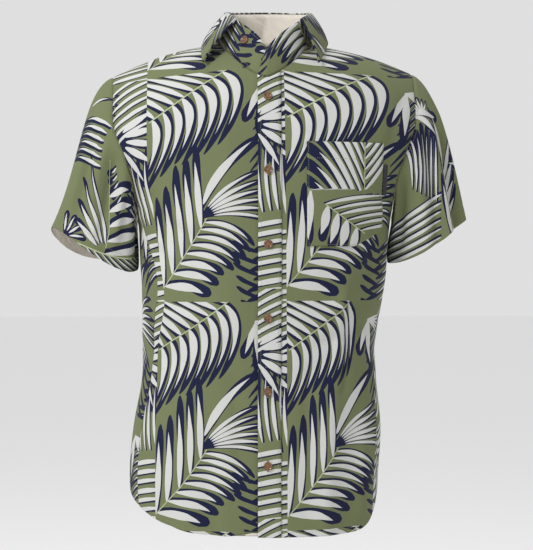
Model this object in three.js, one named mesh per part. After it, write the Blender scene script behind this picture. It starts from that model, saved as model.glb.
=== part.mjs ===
// A short-sleeved button-through shirt, filled out as if worn, with nobody in it.
// Millimetres, +Z up. +X is the wearer's left, the front faces -Y.
// The origin is at the middle of the neck, level with the point where neck and shoulder meet.
// "drop" is a distance below that level. Angles go round the body from the centre front.

import * as THREE from 'three';

// Driving sizes

const CLOTH = 1.6;
const DOUBLE_CLOTH = 1.8;
const SEAM_GAP = 0.34;
const LAID_GAP = 0.4;
const POCKET_GAP = 0.95;

const NECK_HALF = 72;
const NECK_FRONT_DROP = 64;
const NECK_BACK_RISE = 5;
const SHOULDER_HALF = 229;
const SHOULDER_DROP = { left: 43, right: 50 };
const SHOULDER_ARCH = { left: 6.5, right: 8 };
const UNDERARM_DROP = 262;
const BODY_LENGTH = 734;
const SIDE_HEM_DROP = 694;
const TAIL_RISE = { left: 76, right: 54 };
const TAIL_ANGLE = 95;
const TAIL_WIDTH = { left: 25, right: 43 };
const RIDGE_Y = 5;
const ROUND_FRONT = 130;
const ROUND_BACK = 110;
const SQUARENESS = 2.3;

const LAP = 13;
const PLACKET_EDGE = 21;
const LAP_RECESS = 3.5;
const LAP_FADE = { from: 21, to: 55 };
const UNDERLAP_SHORT = 6;

const BUTTON_RADIUS = 6.2;
const BUTTON_THICK = 2.6;
const BUTTON_X = 1.5;
const BUTTON_FIRST_DROP = 93.5;
const BUTTON_SPACING = 107.3;
const BUTTON_COUNT = 6;
const BUTTON_SIDES = 14;
const BUTTON_GAP = 0.55;
const BUTTON_STAND_COLUMN = 3;
const BUTTON_STAND_SHARE = 0.7;

const POCKET = { left: 58, right: 173, top: 159, bottom: 311, corner: 24, cornerWide: 46 };
const TAB = { left: 175.5, right: 182.5, top: 190, bottom: 234, thick: 1.1 };

const NECK_COLUMNS = [-LAP, 4, PLACKET_EDGE, 38, 55, NECK_HALF];
const NECK_BACK_COLUMNS = [0, 18, 36, 54, NECK_HALF];
const SIDE_COLUMNS = 8;
const ARMHOLE_ROWS = 10;
const YOKE_ROWS = 6;
const LOWER_ROWS = 14;

// The body's cross-section at each drop: half width, depth in front and behind, sideways shift

const BODY = [
  { drop: -30, half: 250, front: 108, back: 102, shift: 0 },
  { drop: 0, half: 250, front: 112, back: 107, shift: 0 },
  { drop: 60, half: 250, front: 120, back: 118, shift: 0 },
  { drop: 130, half: 248, front: 129, back: 127, shift: 0 },
  { drop: 170, half: 236, front: 134, back: 130, shift: 0 },
  { drop: 215, half: 212, front: 138, back: 129, shift: 1 },
  { drop: 262, half: 195, front: 140, back: 125, shift: 1 },
  { drop: 348, half: 188, front: 138, back: 116, shift: 1 },
  { drop: 398, half: 183, front: 134, back: 111, shift: -2 },
  { drop: 447, half: 179, front: 129, back: 109, shift: -6 },
  { drop: 508, half: 179, front: 127, back: 112, shift: -6 },
  { drop: 582, half: 189, front: 129, back: 120, shift: -9 },
  { drop: 656, half: 190, front: 131, back: 124, shift: -14 },
  { drop: 740, half: 185, front: 131, back: 124, shift: -13 },
];

// Where the front's outer edge lies: the armhole down to the underarm, then the side seam

const FRONT_EDGE = {
  left: [
    { drop: 50, angle: 64.7 },
    { drop: 90, angle: 64.2 },
    { drop: 130, angle: 64.2 },
    { drop: 170, angle: 62 },
    { drop: 215, angle: 67 },
    { drop: 262, angle: 82 },
    { drop: 350, angle: 84 },
    { drop: 447, angle: 82 },
    { drop: 508, angle: 74 },
    { drop: 582, angle: 68 },
    { drop: 740, angle: 68 },
  ],
  right: [
    { drop: 50, angle: 64.7 },
    { drop: 90, angle: 64.2 },
    { drop: 130, angle: 64.2 },
    { drop: 170, angle: 62 },
    { drop: 215, angle: 67 },
    { drop: 262, angle: 76 },
    { drop: 350, angle: 58 },
    { drop: 447, angle: 63 },
    { drop: 508, angle: 66 },
    { drop: 582, angle: 68 },
    { drop: 740, angle: 69 },
  ],
};

// The armhole's edge behind, as an angle from the centre back

const BACK_ARMHOLE = [
  { drop: 50, angle: 64.7 },
  { drop: 90, angle: 64.2 },
  { drop: 130, angle: 64 },
  { drop: 170, angle: 66 },
  { drop: 215, angle: 76 },
];

// The largest folds: soft ridges (depth above zero) and troughs, from one point to another

const BODY_FOLDS = [
  { face: 'front', x: -168, drop: 285, toX: -96, toDrop: 372, width: 17, depth: -4.5 },
  { face: 'front', x: -150, drop: 250, toX: -70, toDrop: 300, width: 16, depth: 3.5 },
  { face: 'front', x: 166, drop: 330, toX: 104, toDrop: 452, width: 18, depth: -4.5 },
  { face: 'front', x: 120, drop: 360, toX: 92, toDrop: 560, width: 19, depth: 4 },
  { face: 'front', x: -150, drop: 470, toX: -60, toDrop: 520, width: 18, depth: -3.5 },
  { face: 'front', x: -128, drop: 560, toX: -112, toDrop: 735, width: 20, depth: 4.5 },
  { face: 'front', x: 130, drop: 590, toX: 118, toDrop: 735, width: 20, depth: -4 },
  { face: 'front', x: 152, drop: 470, toX: 70, toDrop: 500, width: 17, depth: -3 },
  { face: 'back', x: -170, drop: 280, toX: -80, toDrop: 390, width: 18, depth: -5 },
  { face: 'back', x: 170, drop: 280, toX: 90, toDrop: 400, width: 18, depth: -5 },
  { face: 'back', x: -110, drop: 440, toX: 60, toDrop: 462, width: 18, depth: 4.5 },
  { face: 'back', x: -60, drop: 500, toX: 120, toDrop: 482, width: 17, depth: -4 },
  { face: 'back', x: -60, drop: 560, toX: -72, toDrop: 735, width: 24, depth: 5 },
  { face: 'back', x: 50, drop: 580, toX: 66, toDrop: 735, width: 24, depth: 5 },
  { face: 'back', x: 0, drop: 590, toX: -4, toDrop: 735, width: 22, depth: -4 },
];

// The stand's upper edge, a row for each column of its lower edge, from the front end to the back

const STAND_TOP = [
  { x: -1, y: -101, z: -21 },
  { x: 6, y: -99, z: -10 },
  { x: 17, y: -93, z: 3 },
  { x: 31, y: -81, z: 15 },
  { x: 47, y: -56, z: 29 },
  { x: 62, y: -6, z: 46 },
  { x: 56, y: 24, z: 51 },
  { x: 40, y: 41, z: 54 },
  { x: 20, y: 51, z: 56 },
  { x: 0, y: 55, z: 57 },
];

// The leaf's outer edge, from its point in front to the centre back

const LEAF_START = 4;
const LEAF_EDGE = [
  { x: 80, y: -88, z: -38 },
  { x: 95, y: -10, z: 1 },
  { x: 87, y: 36, z: 3 },
  { x: 64, y: 64, z: 6 },
  { x: 33, y: 79, z: 8 },
  { x: 0, y: 84, z: 9 },
];
const LEAF_ROWS = 5;
const LEAF_BULGE = 3;
const LEAF_ROLL = 3.2;
const LEAF_CREST = 1.2;
const FOLD_GAP = 0.5;
const LEAF_SPREAD = { left: 0, right: 13 };

// The collar leans towards the wearer's left as it rises

const COLLAR_LEAN = 0.11;
const COLLAR_LEAN_FROM = -30;

// Each sleeve's opening and the way its cloth leaves the armhole and meets the hem

const SLEEVE_ROWS = 9;
const SHOULDER_LEAVE_DOWN = 18;
const UNDERARM_LEAVE = { out: 5, down: 22 };
const UNDERARM_LEAN = 0.08;
const HEM_STRAIGHT = 0.42;
const SLEEVE = {
  left: {
    outer: { x: 311, z: -270 },
    inner: { x: 197, z: -334 },
    halfDeep: 64,
    twist: 3,
    sag: 9,
    hemLean: 0.22,
    shoulderOut: 42,
  },
  right: {
    outer: { x: 324, z: -286 },
    inner: { x: 195, z: -343 },
    halfDeep: 66,
    twist: 8,
    sag: 10,
    hemLean: 0.45,
    shoulderOut: 50,
  },
};
const SLEEVE_FOLDS = {
  left: [
    { angle: 38, from: 0.2, to: 1.0, width: 13, depth: 5 },
    { angle: 66, from: 0.15, to: 0.95, width: 12, depth: -5 },
    { angle: 100, from: 0.3, to: 1.0, width: 15, depth: 4 },
    { angle: 235, from: 0.2, to: 1.0, width: 16, depth: -5 },
    { angle: 300, from: 0.3, to: 1.0, width: 18, depth: 4 },
  ],
  right: [
    { angle: 30, from: 0.35, to: 1.0, width: 18, depth: 3 },
    { angle: 105, from: 0.15, to: 0.9, width: 13, depth: -6 },
    { angle: 140, from: 0.1, to: 0.95, width: 13, depth: 5 },
    { angle: 225, from: 0.15, to: 1.0, width: 16, depth: -5 },
    { angle: 290, from: 0.3, to: 1.0, width: 18, depth: 4 },
  ],
};

// Finishes

const PRINT = { color: 0x7a8258, roughness: 0.85, metalness: 0 };
const TAB_CLOTH = { color: 0x1c1c20, roughness: 0.8, metalness: 0 };
const BUTTON_SHELL = { color: 0x8a5a34, roughness: 0.35, metalness: 0 };

// Small helpers

const DEGREE = Math.PI / 180;
const clamp01 = (value) => Math.min(1, Math.max(0, value));
const signOf = (side) => (side === 'left' ? 1 : -1);

function along(table, key, at, column) {
  const last = table.length - 1;
  let row = table.findIndex((entry) => entry[key] >= at);
  if (row === 0) return table[0][column];
  if (row < 0) return table[last][column];
  const slope = (i) => {
    const lower = table[Math.max(0, i - 1)];
    const upper = table[Math.min(last, i + 1)];
    return (upper[column] - lower[column]) / (upper[key] - lower[key]);
  };
  const start = table[row - 1];
  const end = table[row];
  const span = end[key] - start[key];
  const t = (at - start[key]) / span;
  const rise = end[column] - start[column];
  const leave = slope(row - 1) * span;
  const arrive = slope(row) * span;
  const bend = (leave * (1 - t) - arrive * t) * t * (1 - t);
  return start[column] + rise * t * t * (3 - 2 * t) + bend;
}

function pointAlong(table, at) {
  const numbered = table.map((row, place) => ({ ...row, place }));
  return new THREE.Vector3(
    along(numbered, 'place', at, 'x'),
    along(numbered, 'place', at, 'y'),
    along(numbered, 'place', at, 'z'),
  );
}

// The body's surface

function foldDepth(face, x, drop) {
  let depth = 0;
  for (const fold of BODY_FOLDS.filter((entry) => entry.face === face)) {
    const runX = fold.toX - fold.x;
    const runDrop = fold.toDrop - fold.drop;
    const length = Math.hypot(runX, runDrop);
    const share = ((x - fold.x) * runX + (drop - fold.drop) * runDrop) / (length * length);
    const across = ((x - fold.x) * runDrop - (drop - fold.drop) * runX) / length;
    const past = Math.max(0, -share, share - 1) * length;
    const fade = Math.exp(-((across / fold.width) ** 2) - (past / (1.6 * fold.width)) ** 2);
    depth += fold.depth * fade;
  }
  return depth;
}

function ridgeDrop(x) {
  const side = x > 0 ? 'left' : 'right';
  const share = (Math.abs(x) - NECK_HALF) / (SHOULDER_HALF - NECK_HALF);
  return SHOULDER_DROP[side] * share - SHOULDER_ARCH[side] * Math.sin(Math.PI * clamp01(share));
}

function angleAt(x, drop) {
  const half = along(BODY, 'drop', drop, 'half');
  const share = Math.min(1, Math.abs(x) / half);
  return Math.sign(x) * (Math.asin(share ** (SQUARENESS / 2)) / DEGREE);
}

function bodyPoint(angle, drop) {
  const sine = Math.abs(Math.sin(angle * DEGREE)) ** (2 / SQUARENESS);
  const cosine = Math.cos(angle * DEGREE);
  const inFront = cosine > 0;
  const depth = along(BODY, 'drop', drop, inFront ? 'front' : 'back');
  const across = along(BODY, 'drop', drop, 'half') * sine;
  const flat = -Math.sign(cosine) * depth * Math.abs(cosine) ** (2 / SQUARENESS);
  const below = drop - ridgeDrop(Math.sign(angle) * across);
  const round = clamp01(below / (inFront ? ROUND_FRONT : ROUND_BACK));
  const fullness = Math.sqrt(1 - (1 - round) ** 2);
  const x = Math.sign(angle) * across + along(BODY, 'drop', drop, 'shift') * sine * sine;
  const y = RIDGE_Y + (flat - RIDGE_Y) * fullness;
  const fold = foldDepth(inFront ? 'front' : 'back', x, drop) * fullness;
  const outX = Math.sin(angle * DEGREE) * fold;
  const outY = -Math.cos(angle * DEGREE) * fold;
  return new THREE.Vector3(x + outX, y + outY, -drop);
}

function hemDrop(angle) {
  const side = angle > 0 ? 'left' : 'right';
  const rise = TAIL_RISE[side];
  const away = (Math.abs(angle) - TAIL_ANGLE) / TAIL_WIDTH[side];
  return BODY_LENGTH - rise * Math.exp(-away * away);
}

// How far down each row lies, as a share of the way from the top edge to the hem

function rowShares() {
  const shares = [];
  const whole = SIDE_HEM_DROP - SHOULDER_DROP.left;
  const armhole = (UNDERARM_DROP - SHOULDER_DROP.left) / whole;
  for (let row = 0; row <= ARMHOLE_ROWS; row += 1) {
    shares.push(armhole * (1 - Math.cos((Math.PI / 2) * (row / ARMHOLE_ROWS))) ** 0.95);
  }
  for (let row = 1; row <= LOWER_ROWS; row += 1) {
    shares.push(armhole + (1 - armhole) * (row / LOWER_ROWS));
  }
  return shares;
}

const ROW_SHARES = rowShares();

function frontEdge(side, drop) {
  return along(FRONT_EDGE[side], 'drop', drop, 'angle');
}

function backEdge(side, drop) {
  const underarm = 180 - frontEdge(side, UNDERARM_DROP);
  if (drop >= UNDERARM_DROP) return 180 - frontEdge(side, drop);
  const armhole = [...BACK_ARMHOLE, { drop: UNDERARM_DROP, angle: underarm }];
  return along(armhole, 'drop', drop, 'angle');
}

// One half of the front or the back, as columns of points from the centre to the side

function halfSheet(side, face, neckColumns) {
  const sign = signOf(side);
  const inFront = face === 'front';
  const edgeOf = inFront ? frontEdge : backEdge;
  const turn = (angle) => (inFront ? angle : Math.sign(angle) * 180 - angle);
  const neckDrop = (x) => {
    const share = Math.abs(x) / NECK_HALF;
    return inFront ? NECK_FRONT_DROP * (1 - share ** 1.5) : -NECK_BACK_RISE * (1 - share * share);
  };
  const hemEdge = hemDrop(turn(sign * edgeOf(side, SIDE_HEM_DROP)));
  const shoulderDrop = SHOULDER_DROP[side];
  const edgeDrop = (share) => shoulderDrop + (hemEdge - shoulderDrop) * share;
  const columns = neckColumns.map((x) => ROW_SHARES.map((share) => {
    const hem = hemDrop(turn(sign * angleAt(x, SIDE_HEM_DROP) || sign * 0.01));
    const drop = neckDrop(x) + (hem - neckDrop(x)) * share;
    const angle = sign * angleAt(x, drop) || sign * 1e-6;
    return bodyPoint(turn(angle), drop);
  }));
  for (let column = 1; column <= SIDE_COLUMNS; column += 1) {
    const across = column / SIDE_COLUMNS;
    const between = (start, end) => start + (end - start) * across;
    const topAngle = between(angleAt(NECK_HALF, 0), edgeOf(side, shoulderDrop));
    const topX = BODY[0].half * Math.sin(topAngle * DEGREE) ** (2 / SQUARENESS);
    const hemAngle = between(angleAt(NECK_HALF, SIDE_HEM_DROP), edgeOf(side, SIDE_HEM_DROP));
    const top = ridgeDrop(sign * topX);
    const hem = hemDrop(turn(sign * hemAngle));
    columns.push(ROW_SHARES.map((share) => {
      const drop = top + (hem - top) * share;
      const angle = between(angleAt(NECK_HALF, drop), edgeOf(side, edgeDrop(share)));
      return bodyPoint(turn(sign * angle), drop);
    }));
  }
  return columns;
}

// A sheet is a grid of columns of points, each with the direction that its outside faces

function makeSheet(columns, wraps, insideOf) {
  const count = columns.length;
  const rows = columns[0].length;
  const column = (i) => columns[wraps ? (i + count) % count : Math.min(count - 1, Math.max(0, i))];
  const outs = columns.map((points, i) => points.map((point, j) => {
    const acrossWay = column(i + 1)[j].clone().sub(column(i - 1)[j]);
    const downWay = points[Math.min(rows - 1, j + 1)].clone().sub(points[Math.max(0, j - 1)]);
    return acrossWay.cross(downWay).normalize();
  }));
  let agreement = 0;
  columns.forEach((points, i) => points.forEach((point, j) => {
    agreement += outs[i][j].dot(point.clone().sub(insideOf(point, j)));
  }));
  if (agreement < 0) outs.forEach((list) => list.forEach((out) => out.negate()));
  return { columns, outs, wraps };
}

function slice(sheet, columnRange, rowRange) {
  const cut = (lists) => lists.slice(columnRange[0], columnRange[1] + 1)
    .map((list) => list.slice(rowRange[0], rowRange[1] + 1).map((vector) => vector.clone()));
  return { columns: cut(sheet.columns), outs: cut(sheet.outs), wraps: false };
}

// Where two sheets meet at the same points, both walls lean the same way

function matchSeams(sheets) {
  const meeting = new Map();
  for (const sheet of sheets) {
    sheet.columns.forEach((points, i) => points.forEach((point, j) => {
      const key = [point.x, point.y, point.z].map((value) => value.toFixed(2)).join(' ');
      if (!meeting.has(key)) meeting.set(key, []);
      meeting.get(key).push(sheet.outs[i][j]);
    }));
  }
  for (const outs of meeting.values()) {
    const own = outs.map((out) => out.clone());
    outs.forEach((out, index) => {
      own.forEach((other, place) => {
        const sharp = own[index].dot(other) < 0.2;
        if (place !== index) out.addScaledVector(other, sharp ? 0.5 : 1);
      });
      out.normalize();
    });
  }
}

// Each seamed edge steps back by half the seam gap

function trim(sheet, edges, step = SEAM_GAP / 2) {
  const { columns } = sheet;
  const last = columns.length - 1;
  const bottom = columns[0].length - 1;
  const pull = (point, inner) => point.add(inner.clone().sub(point).setLength(step));
  if (edges.includes('top')) columns.forEach((points) => pull(points[0], points[1]));
  if (edges.includes('bottom')) columns.forEach((points) => pull(points[bottom], points[bottom - 1]));
  if (edges.includes('first')) columns[0].forEach((point, j) => pull(point, columns[1][j]));
  if (edges.includes('last')) columns[last].forEach((point, j) => pull(point, columns[last - 1][j]));
}

// A closed wall on a sheet: its outside lies "lift" out from the points

function wall(sheet, thickness, lift = 0) {
  const { columns, outs, wraps } = sheet;
  const count = columns.length;
  const rows = columns[0].length;
  const positions = [];
  for (const depth of [lift, lift - thickness]) {
    columns.forEach((points, i) => points.forEach((point, j) => {
      positions.push(...point.clone().addScaledVector(outs[i][j], depth).toArray());
    }));
  }
  const at = (layer, i, j) => layer * count * rows + (i % count) * rows + j;
  const triangles = [];
  const quad = (a, b, c, d) => triangles.push(a, b, c, a, c, d);
  const spans = wraps ? count : count - 1;
  for (let i = 0; i < spans; i += 1) {
    for (let j = 0; j < rows - 1; j += 1) {
      quad(at(0, i, j), at(0, i + 1, j), at(0, i + 1, j + 1), at(0, i, j + 1));
      quad(at(1, i, j), at(1, i, j + 1), at(1, i + 1, j + 1), at(1, i + 1, j));
    }
    quad(at(0, i, 0), at(1, i, 0), at(1, i + 1, 0), at(0, i + 1, 0));
    quad(at(0, i, rows - 1), at(0, i + 1, rows - 1), at(1, i + 1, rows - 1), at(1, i, rows - 1));
  }
  if (!wraps) {
    for (let j = 0; j < rows - 1; j += 1) {
      quad(at(0, 0, j), at(0, 0, j + 1), at(1, 0, j + 1), at(1, 0, j));
      const end = count - 1;
      quad(at(0, end, j), at(1, end, j), at(1, end, j + 1), at(0, end, j + 1));
    }
  }
  const geometry = new THREE.BufferGeometry();
  geometry.setAttribute('position', new THREE.Float32BufferAttribute(positions, 3));
  geometry.setIndex(facingOut(positions, triangles));
  return geometry;
}

function facingOut(positions, triangles) {
  const corner = (index) => new THREE.Vector3().fromArray(positions, 3 * index);
  let volume = 0;
  for (let i = 0; i < triangles.length; i += 3) {
    const [a, b, c] = [0, 1, 2].map((step) => corner(triangles[i + step]));
    volume += a.dot(b.cross(c));
  }
  if (volume > 0) return triangles;
  const turned = [];
  for (let i = 0; i < triangles.length; i += 3) {
    turned.push(triangles[i], triangles[i + 2], triangles[i + 1]);
  }
  return turned;
}

// The fronts, the back and the yoke

const bodyAxis = (point) => new THREE.Vector3(0, 0, point.z - 60);

function makeFront(side) {
  const sheet = makeSheet(halfSheet(side, 'front', NECK_COLUMNS), false, bodyAxis);
  if (side === 'right') {
    const bottom = ROW_SHARES.length - 1;
    sheet.columns.forEach((points, i) => {
      const x = NECK_COLUMNS[Math.min(i, NECK_COLUMNS.length - 1)];
      const lapped = clamp01((LAP_FADE.to - x) / (LAP_FADE.to - LAP_FADE.from));
      points.forEach((point) => { point.y += LAP_RECESS * lapped; });
      points[bottom].z += UNDERLAP_SHORT * lapped;
    });
  }
  return sheet;
}

function makeBack() {
  const left = halfSheet('left', 'back', NECK_BACK_COLUMNS);
  const right = halfSheet('right', 'back', NECK_BACK_COLUMNS);
  return makeSheet([...right.reverse(), ...left.slice(1)], false, bodyAxis);
}

// The sleeves

function armholeRing(front, back, side) {
  const frontColumn = front.columns[front.columns.length - 1];
  const backColumn = back.columns[side === 'left' ? back.columns.length - 1 : 0];
  const downFront = frontColumn.slice(0, ARMHOLE_ROWS + 1);
  const upBack = backColumn.slice(1, ARMHOLE_ROWS).reverse();
  return [...downFront, ...upBack].map((point) => point.clone());
}

function ringAngles(ring) {
  const steps = ring.map((point, k) => point.distanceTo(ring[(k + 1) % ring.length]));
  const total = (list) => list.reduce((sum, step) => sum + step, 0);
  const frontLength = total(steps.slice(0, ARMHOLE_ROWS));
  const backLength = total(steps.slice(ARMHOLE_ROWS));
  return ring.map((point, k) => {
    if (k <= ARMHOLE_ROWS) return (180 * total(steps.slice(0, k))) / frontLength;
    return 180 + (180 * total(steps.slice(ARMHOLE_ROWS, k))) / backLength;
  });
}

function sleevePoint(side, start, angle, share) {
  const size = SLEEVE[side];
  const sign = signOf(side);
  const turned = angle * DEGREE;
  const outer = new THREE.Vector3(sign * size.outer.x, 0, size.outer.z);
  const inner = new THREE.Vector3(sign * size.inner.x, 0, size.inner.z);
  const middle = outer.clone().add(inner).multiplyScalar(0.5);
  const reach = outer.clone().sub(middle);
  const hem = middle.addScaledVector(reach, Math.cos(turned));
  hem.y += RIDGE_Y - size.halfDeep * Math.sin(turned);
  hem.z += size.twist * Math.sin(turned) - size.sag * Math.sin(turned) ** 2;
  const length = hem.distanceTo(start);
  const topness = (1 + Math.cos(turned)) / 2;
  const blend = (top, underarm) => top * topness + underarm * (1 - topness);
  const leaveOut = blend(size.shoulderOut, UNDERARM_LEAVE.out);
  const leaveDown = blend(SHOULDER_LEAVE_DOWN, UNDERARM_LEAVE.down);
  const leave = new THREE.Vector3(sign * leaveOut, 0, -leaveDown).add(start);
  const lean = blend(size.hemLean, UNDERARM_LEAN);
  const arrive = new THREE.Vector3(-sign * lean, 0, Math.sqrt(1 - lean * lean));
  arrive.multiplyScalar(HEM_STRAIGHT * length).add(hem);
  return new THREE.CubicBezierCurve3(start, leave, arrive, hem).getPoint(share);
}

function sleeveFold(side, angle, share) {
  let depth = 0;
  for (const fold of SLEEVE_FOLDS[side]) {
    const away = (((angle - fold.angle + 540) % 360) - 180) / fold.width;
    const grow = clamp01((share - fold.from) / 0.3);
    const fade = clamp01((fold.to + 0.1 - share) / 0.1);
    depth += fold.depth * Math.exp(-away * away) * grow * fade;
  }
  return depth;
}

function makeSleeve(side, ring) {
  const angles = ringAngles(ring);
  const columns = ring.map((start, k) => {
    const points = [];
    for (let row = 0; row <= SLEEVE_ROWS; row += 1) {
      points.push(sleevePoint(side, start, angles[k], row / SLEEVE_ROWS));
    }
    return points;
  });
  const centres = columns[0].map((unused, row) => {
    const centre = new THREE.Vector3();
    columns.forEach((points) => centre.addScaledVector(points[row], 1 / columns.length));
    return centre;
  });
  columns.forEach((points, k) => points.forEach((point, row) => {
    const out = point.clone().sub(centres[row]).normalize();
    point.addScaledVector(out, sleeveFold(side, angles[k], row / SLEEVE_ROWS));
  }));
  return makeSheet(columns, true, (point, row) => centres[row]);
}

// The collar

function neckline(front, back, side) {
  const middle = (back.columns.length - 1) / 2;
  const step = signOf(side);
  const points = NECK_COLUMNS.map((unused, i) => front.columns[i][0].clone());
  for (let i = NECK_BACK_COLUMNS.length - 2; i >= 0; i -= 1) {
    points.push(back.columns[middle + step * i][0].clone());
  }
  return points;
}

function leaned(point) {
  point.x += COLLAR_LEAN * Math.max(0, point.z - COLLAR_LEAN_FROM);
  return point;
}

function standTop(side, place) {
  const point = pointAlong(STAND_TOP, place);
  if (side === 'right') point.y += LAP_RECESS * clamp01(2 - place / 2);
  point.x *= signOf(side);
  return leaned(point);
}

function makeStand(rightFront, leftFront, back) {
  const halfColumns = (side, front) => neckline(front, back, side).map((low, place) => {
    const high = standTop(side, place);
    const middle = low.clone().lerp(high, 0.5);
    return [high, middle, low];
  });
  const right = halfColumns('right', rightFront);
  const left = halfColumns('left', leftFront);
  const columns = [...right, ...left.reverse().slice(1)];
  return makeSheet(columns, false, (point) => new THREE.Vector3(0, -20, point.z));
}

function leafColumn(side, place) {
  const fold = standTop(side, place);
  const edge = pointAlong(LEAF_EDGE, place - LEAF_START);
  edge.x += LEAF_SPREAD[side] * clamp01(1 - (place - LEAF_START));
  edge.x *= signOf(side);
  leaned(edge);
  const out = edge.clone().sub(fold).setZ(0).normalize();
  const points = [fold.clone().add(new THREE.Vector3(0, 0, FOLD_GAP))];
  for (let row = 1; row <= LEAF_ROWS; row += 1) {
    const share = (row - 1) / (LEAF_ROWS - 1);
    const point = fold.clone().addScaledVector(out, LEAF_ROLL * (1 - share));
    point.z += LEAF_CREST * (1 - share);
    point.addScaledVector(edge.clone().sub(fold), share);
    point.addScaledVector(out, LEAF_BULGE * 4 * share * (1 - share));
    points.push(point);
  }
  return points;
}

function makeLeaf() {
  const places = [];
  for (let place = LEAF_START; place <= STAND_TOP.length - 1; place += 0.5) places.push(place);
  const right = places.map((place) => leafColumn('right', place));
  const left = places.map((place) => leafColumn('left', place)).reverse();
  return makeSheet([...right, ...left.slice(1)], false, (point) => new THREE.Vector3(0, -10, -60));
}

// What lies on the left front

function frontPatch({ left, right, top }, bottomOf, columnCount, rowCount) {
  const columns = [];
  for (let i = 0; i <= columnCount; i += 1) {
    const x = left + ((right - left) * i) / columnCount;
    const points = [];
    for (let j = 0; j <= rowCount; j += 1) {
      const drop = top + ((bottomOf(x) - top) * j) / rowCount;
      points.push(bodyPoint(angleAt(x, drop), drop));
    }
    columns.push(points);
  }
  return makeSheet(columns, false, bodyAxis);
}

function makePocket() {
  const bottomOf = (x) => {
    const intoCorner = clamp01((x - (POCKET.right - POCKET.cornerWide)) / POCKET.cornerWide);
    return POCKET.bottom - POCKET.corner * intoCorner;
  };
  return frontPatch(POCKET, bottomOf, 10, 8);
}

// A button: a dished disc with a rounded rim, its back on Z = 0 and its face towards +Z

function buttonShape() {
  const rim = BUTTON_RADIUS;
  const profile = [
    [0, 0],
    [rim - 0.9, 0],
    [rim, 0.9],
    [rim, BUTTON_THICK - 0.8],
    [rim - 0.9, BUTTON_THICK],
    [rim - 2.1, BUTTON_THICK - 0.8],
    [0, BUTTON_THICK - 1],
  ].map(([radius, height]) => new THREE.Vector2(radius, height));
  return new THREE.LatheGeometry(profile, BUTTON_SIDES).rotateX(Math.PI / 2);
}

function makeButton(name, seat, out) {
  const mesh = new THREE.Mesh(buttonShape(), new THREE.MeshStandardMaterial(BUTTON_SHELL));
  mesh.name = name;
  mesh.position.copy(seat);
  mesh.quaternion.setFromUnitVectors(new THREE.Vector3(0, 0, 1), out);
  return mesh;
}

// The whole shirt

function clothMesh(name, geometry, finish = PRINT) {
  const mesh = new THREE.Mesh(geometry, new THREE.MeshStandardMaterial(finish));
  mesh.name = name;
  return mesh;
}

function outwardAt(point, nextDown) {
  const down = nextDown.clone().sub(point).normalize();
  return new THREE.Vector3(1, 0, 0).cross(down).negate().normalize();
}

function addButtons(shirt, stand) {
  const lift = LAID_GAP + CLOTH + BUTTON_GAP;
  const onFront = (drop) => bodyPoint(angleAt(BUTTON_X, drop), drop);
  for (let number = 0; number < BUTTON_COUNT; number += 1) {
    const drop = BUTTON_FIRST_DROP + BUTTON_SPACING * number;
    const out = outwardAt(onFront(drop - BUTTON_RADIUS), onFront(drop + BUTTON_RADIUS));
    const seat = onFront(drop).addScaledVector(out, lift);
    shirt.add(makeButton(`button_${number + 1}`, seat, out));
  }
  const [high, middle] = stand.columns[BUTTON_STAND_COLUMN];
  const out = stand.outs[BUTTON_STAND_COLUMN][1];
  const seat = high.clone().lerp(middle, BUTTON_STAND_SHARE).addScaledVector(out, BUTTON_GAP);
  shirt.add(makeButton('button_stand', seat, out));
}

function makeShirt() {
  const leftFront = makeFront('left');
  const rightFront = makeFront('right');
  const wholeBack = makeBack();
  const bottom = ROW_SHARES.length - 1;
  const lastColumn = wholeBack.columns.length - 1;
  const yoke = slice(wholeBack, [0, lastColumn], [0, YOKE_ROWS]);
  const back = slice(wholeBack, [0, lastColumn], [YOKE_ROWS, bottom]);
  const leftSleeve = makeSleeve('left', armholeRing(leftFront, wholeBack, 'left'));
  const rightSleeve = makeSleeve('right', armholeRing(rightFront, wholeBack, 'right'));
  const stand = makeStand(rightFront, leftFront, wholeBack);
  matchSeams([leftFront, rightFront, yoke, back, leftSleeve, rightSleeve, stand]);
  const placket = slice(leftFront, [0, 2], [0, bottom]);
  trim(placket, ['top'], 1.4);
  trim(leftFront, ['top', 'last']);
  trim(rightFront, ['top', 'last']);
  trim(yoke, ['top', 'bottom', 'first', 'last']);
  trim(back, ['top', 'first', 'last']);
  trim(leftSleeve, ['top'], 1.5 * SEAM_GAP);
  trim(rightSleeve, ['top'], 1.5 * SEAM_GAP);
  trim(stand, ['bottom'], SEAM_GAP);

  const shirt = new THREE.Group();
  shirt.add(clothMesh('back', wall(back, CLOTH)));
  shirt.add(clothMesh('yoke', wall(yoke, CLOTH)));
  shirt.add(clothMesh('right_front', wall(rightFront, CLOTH)));
  shirt.add(clothMesh('left_front', wall(leftFront, CLOTH)));
  shirt.add(clothMesh('sleeve_right', wall(rightSleeve, CLOTH)));
  shirt.add(clothMesh('sleeve_left', wall(leftSleeve, CLOTH)));
  shirt.add(clothMesh('placket', wall(placket, CLOTH, LAID_GAP + CLOTH)));
  shirt.add(clothMesh('collar_stand', wall(stand, DOUBLE_CLOTH)));
  shirt.add(clothMesh('collar_leaf', wall(makeLeaf(), DOUBLE_CLOTH, DOUBLE_CLOTH)));
  shirt.add(clothMesh('pocket', wall(makePocket(), CLOTH, POCKET_GAP + CLOTH)));
  const tab = frontPatch(TAB, () => TAB.bottom, 1, 3);
  shirt.add(clothMesh('pocket_tab', wall(tab, TAB.thick, POCKET_GAP + TAB.thick), TAB_CLOTH));
  addButtons(shirt, stand);
  return shirt;
}

export default makeShirt();
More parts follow.
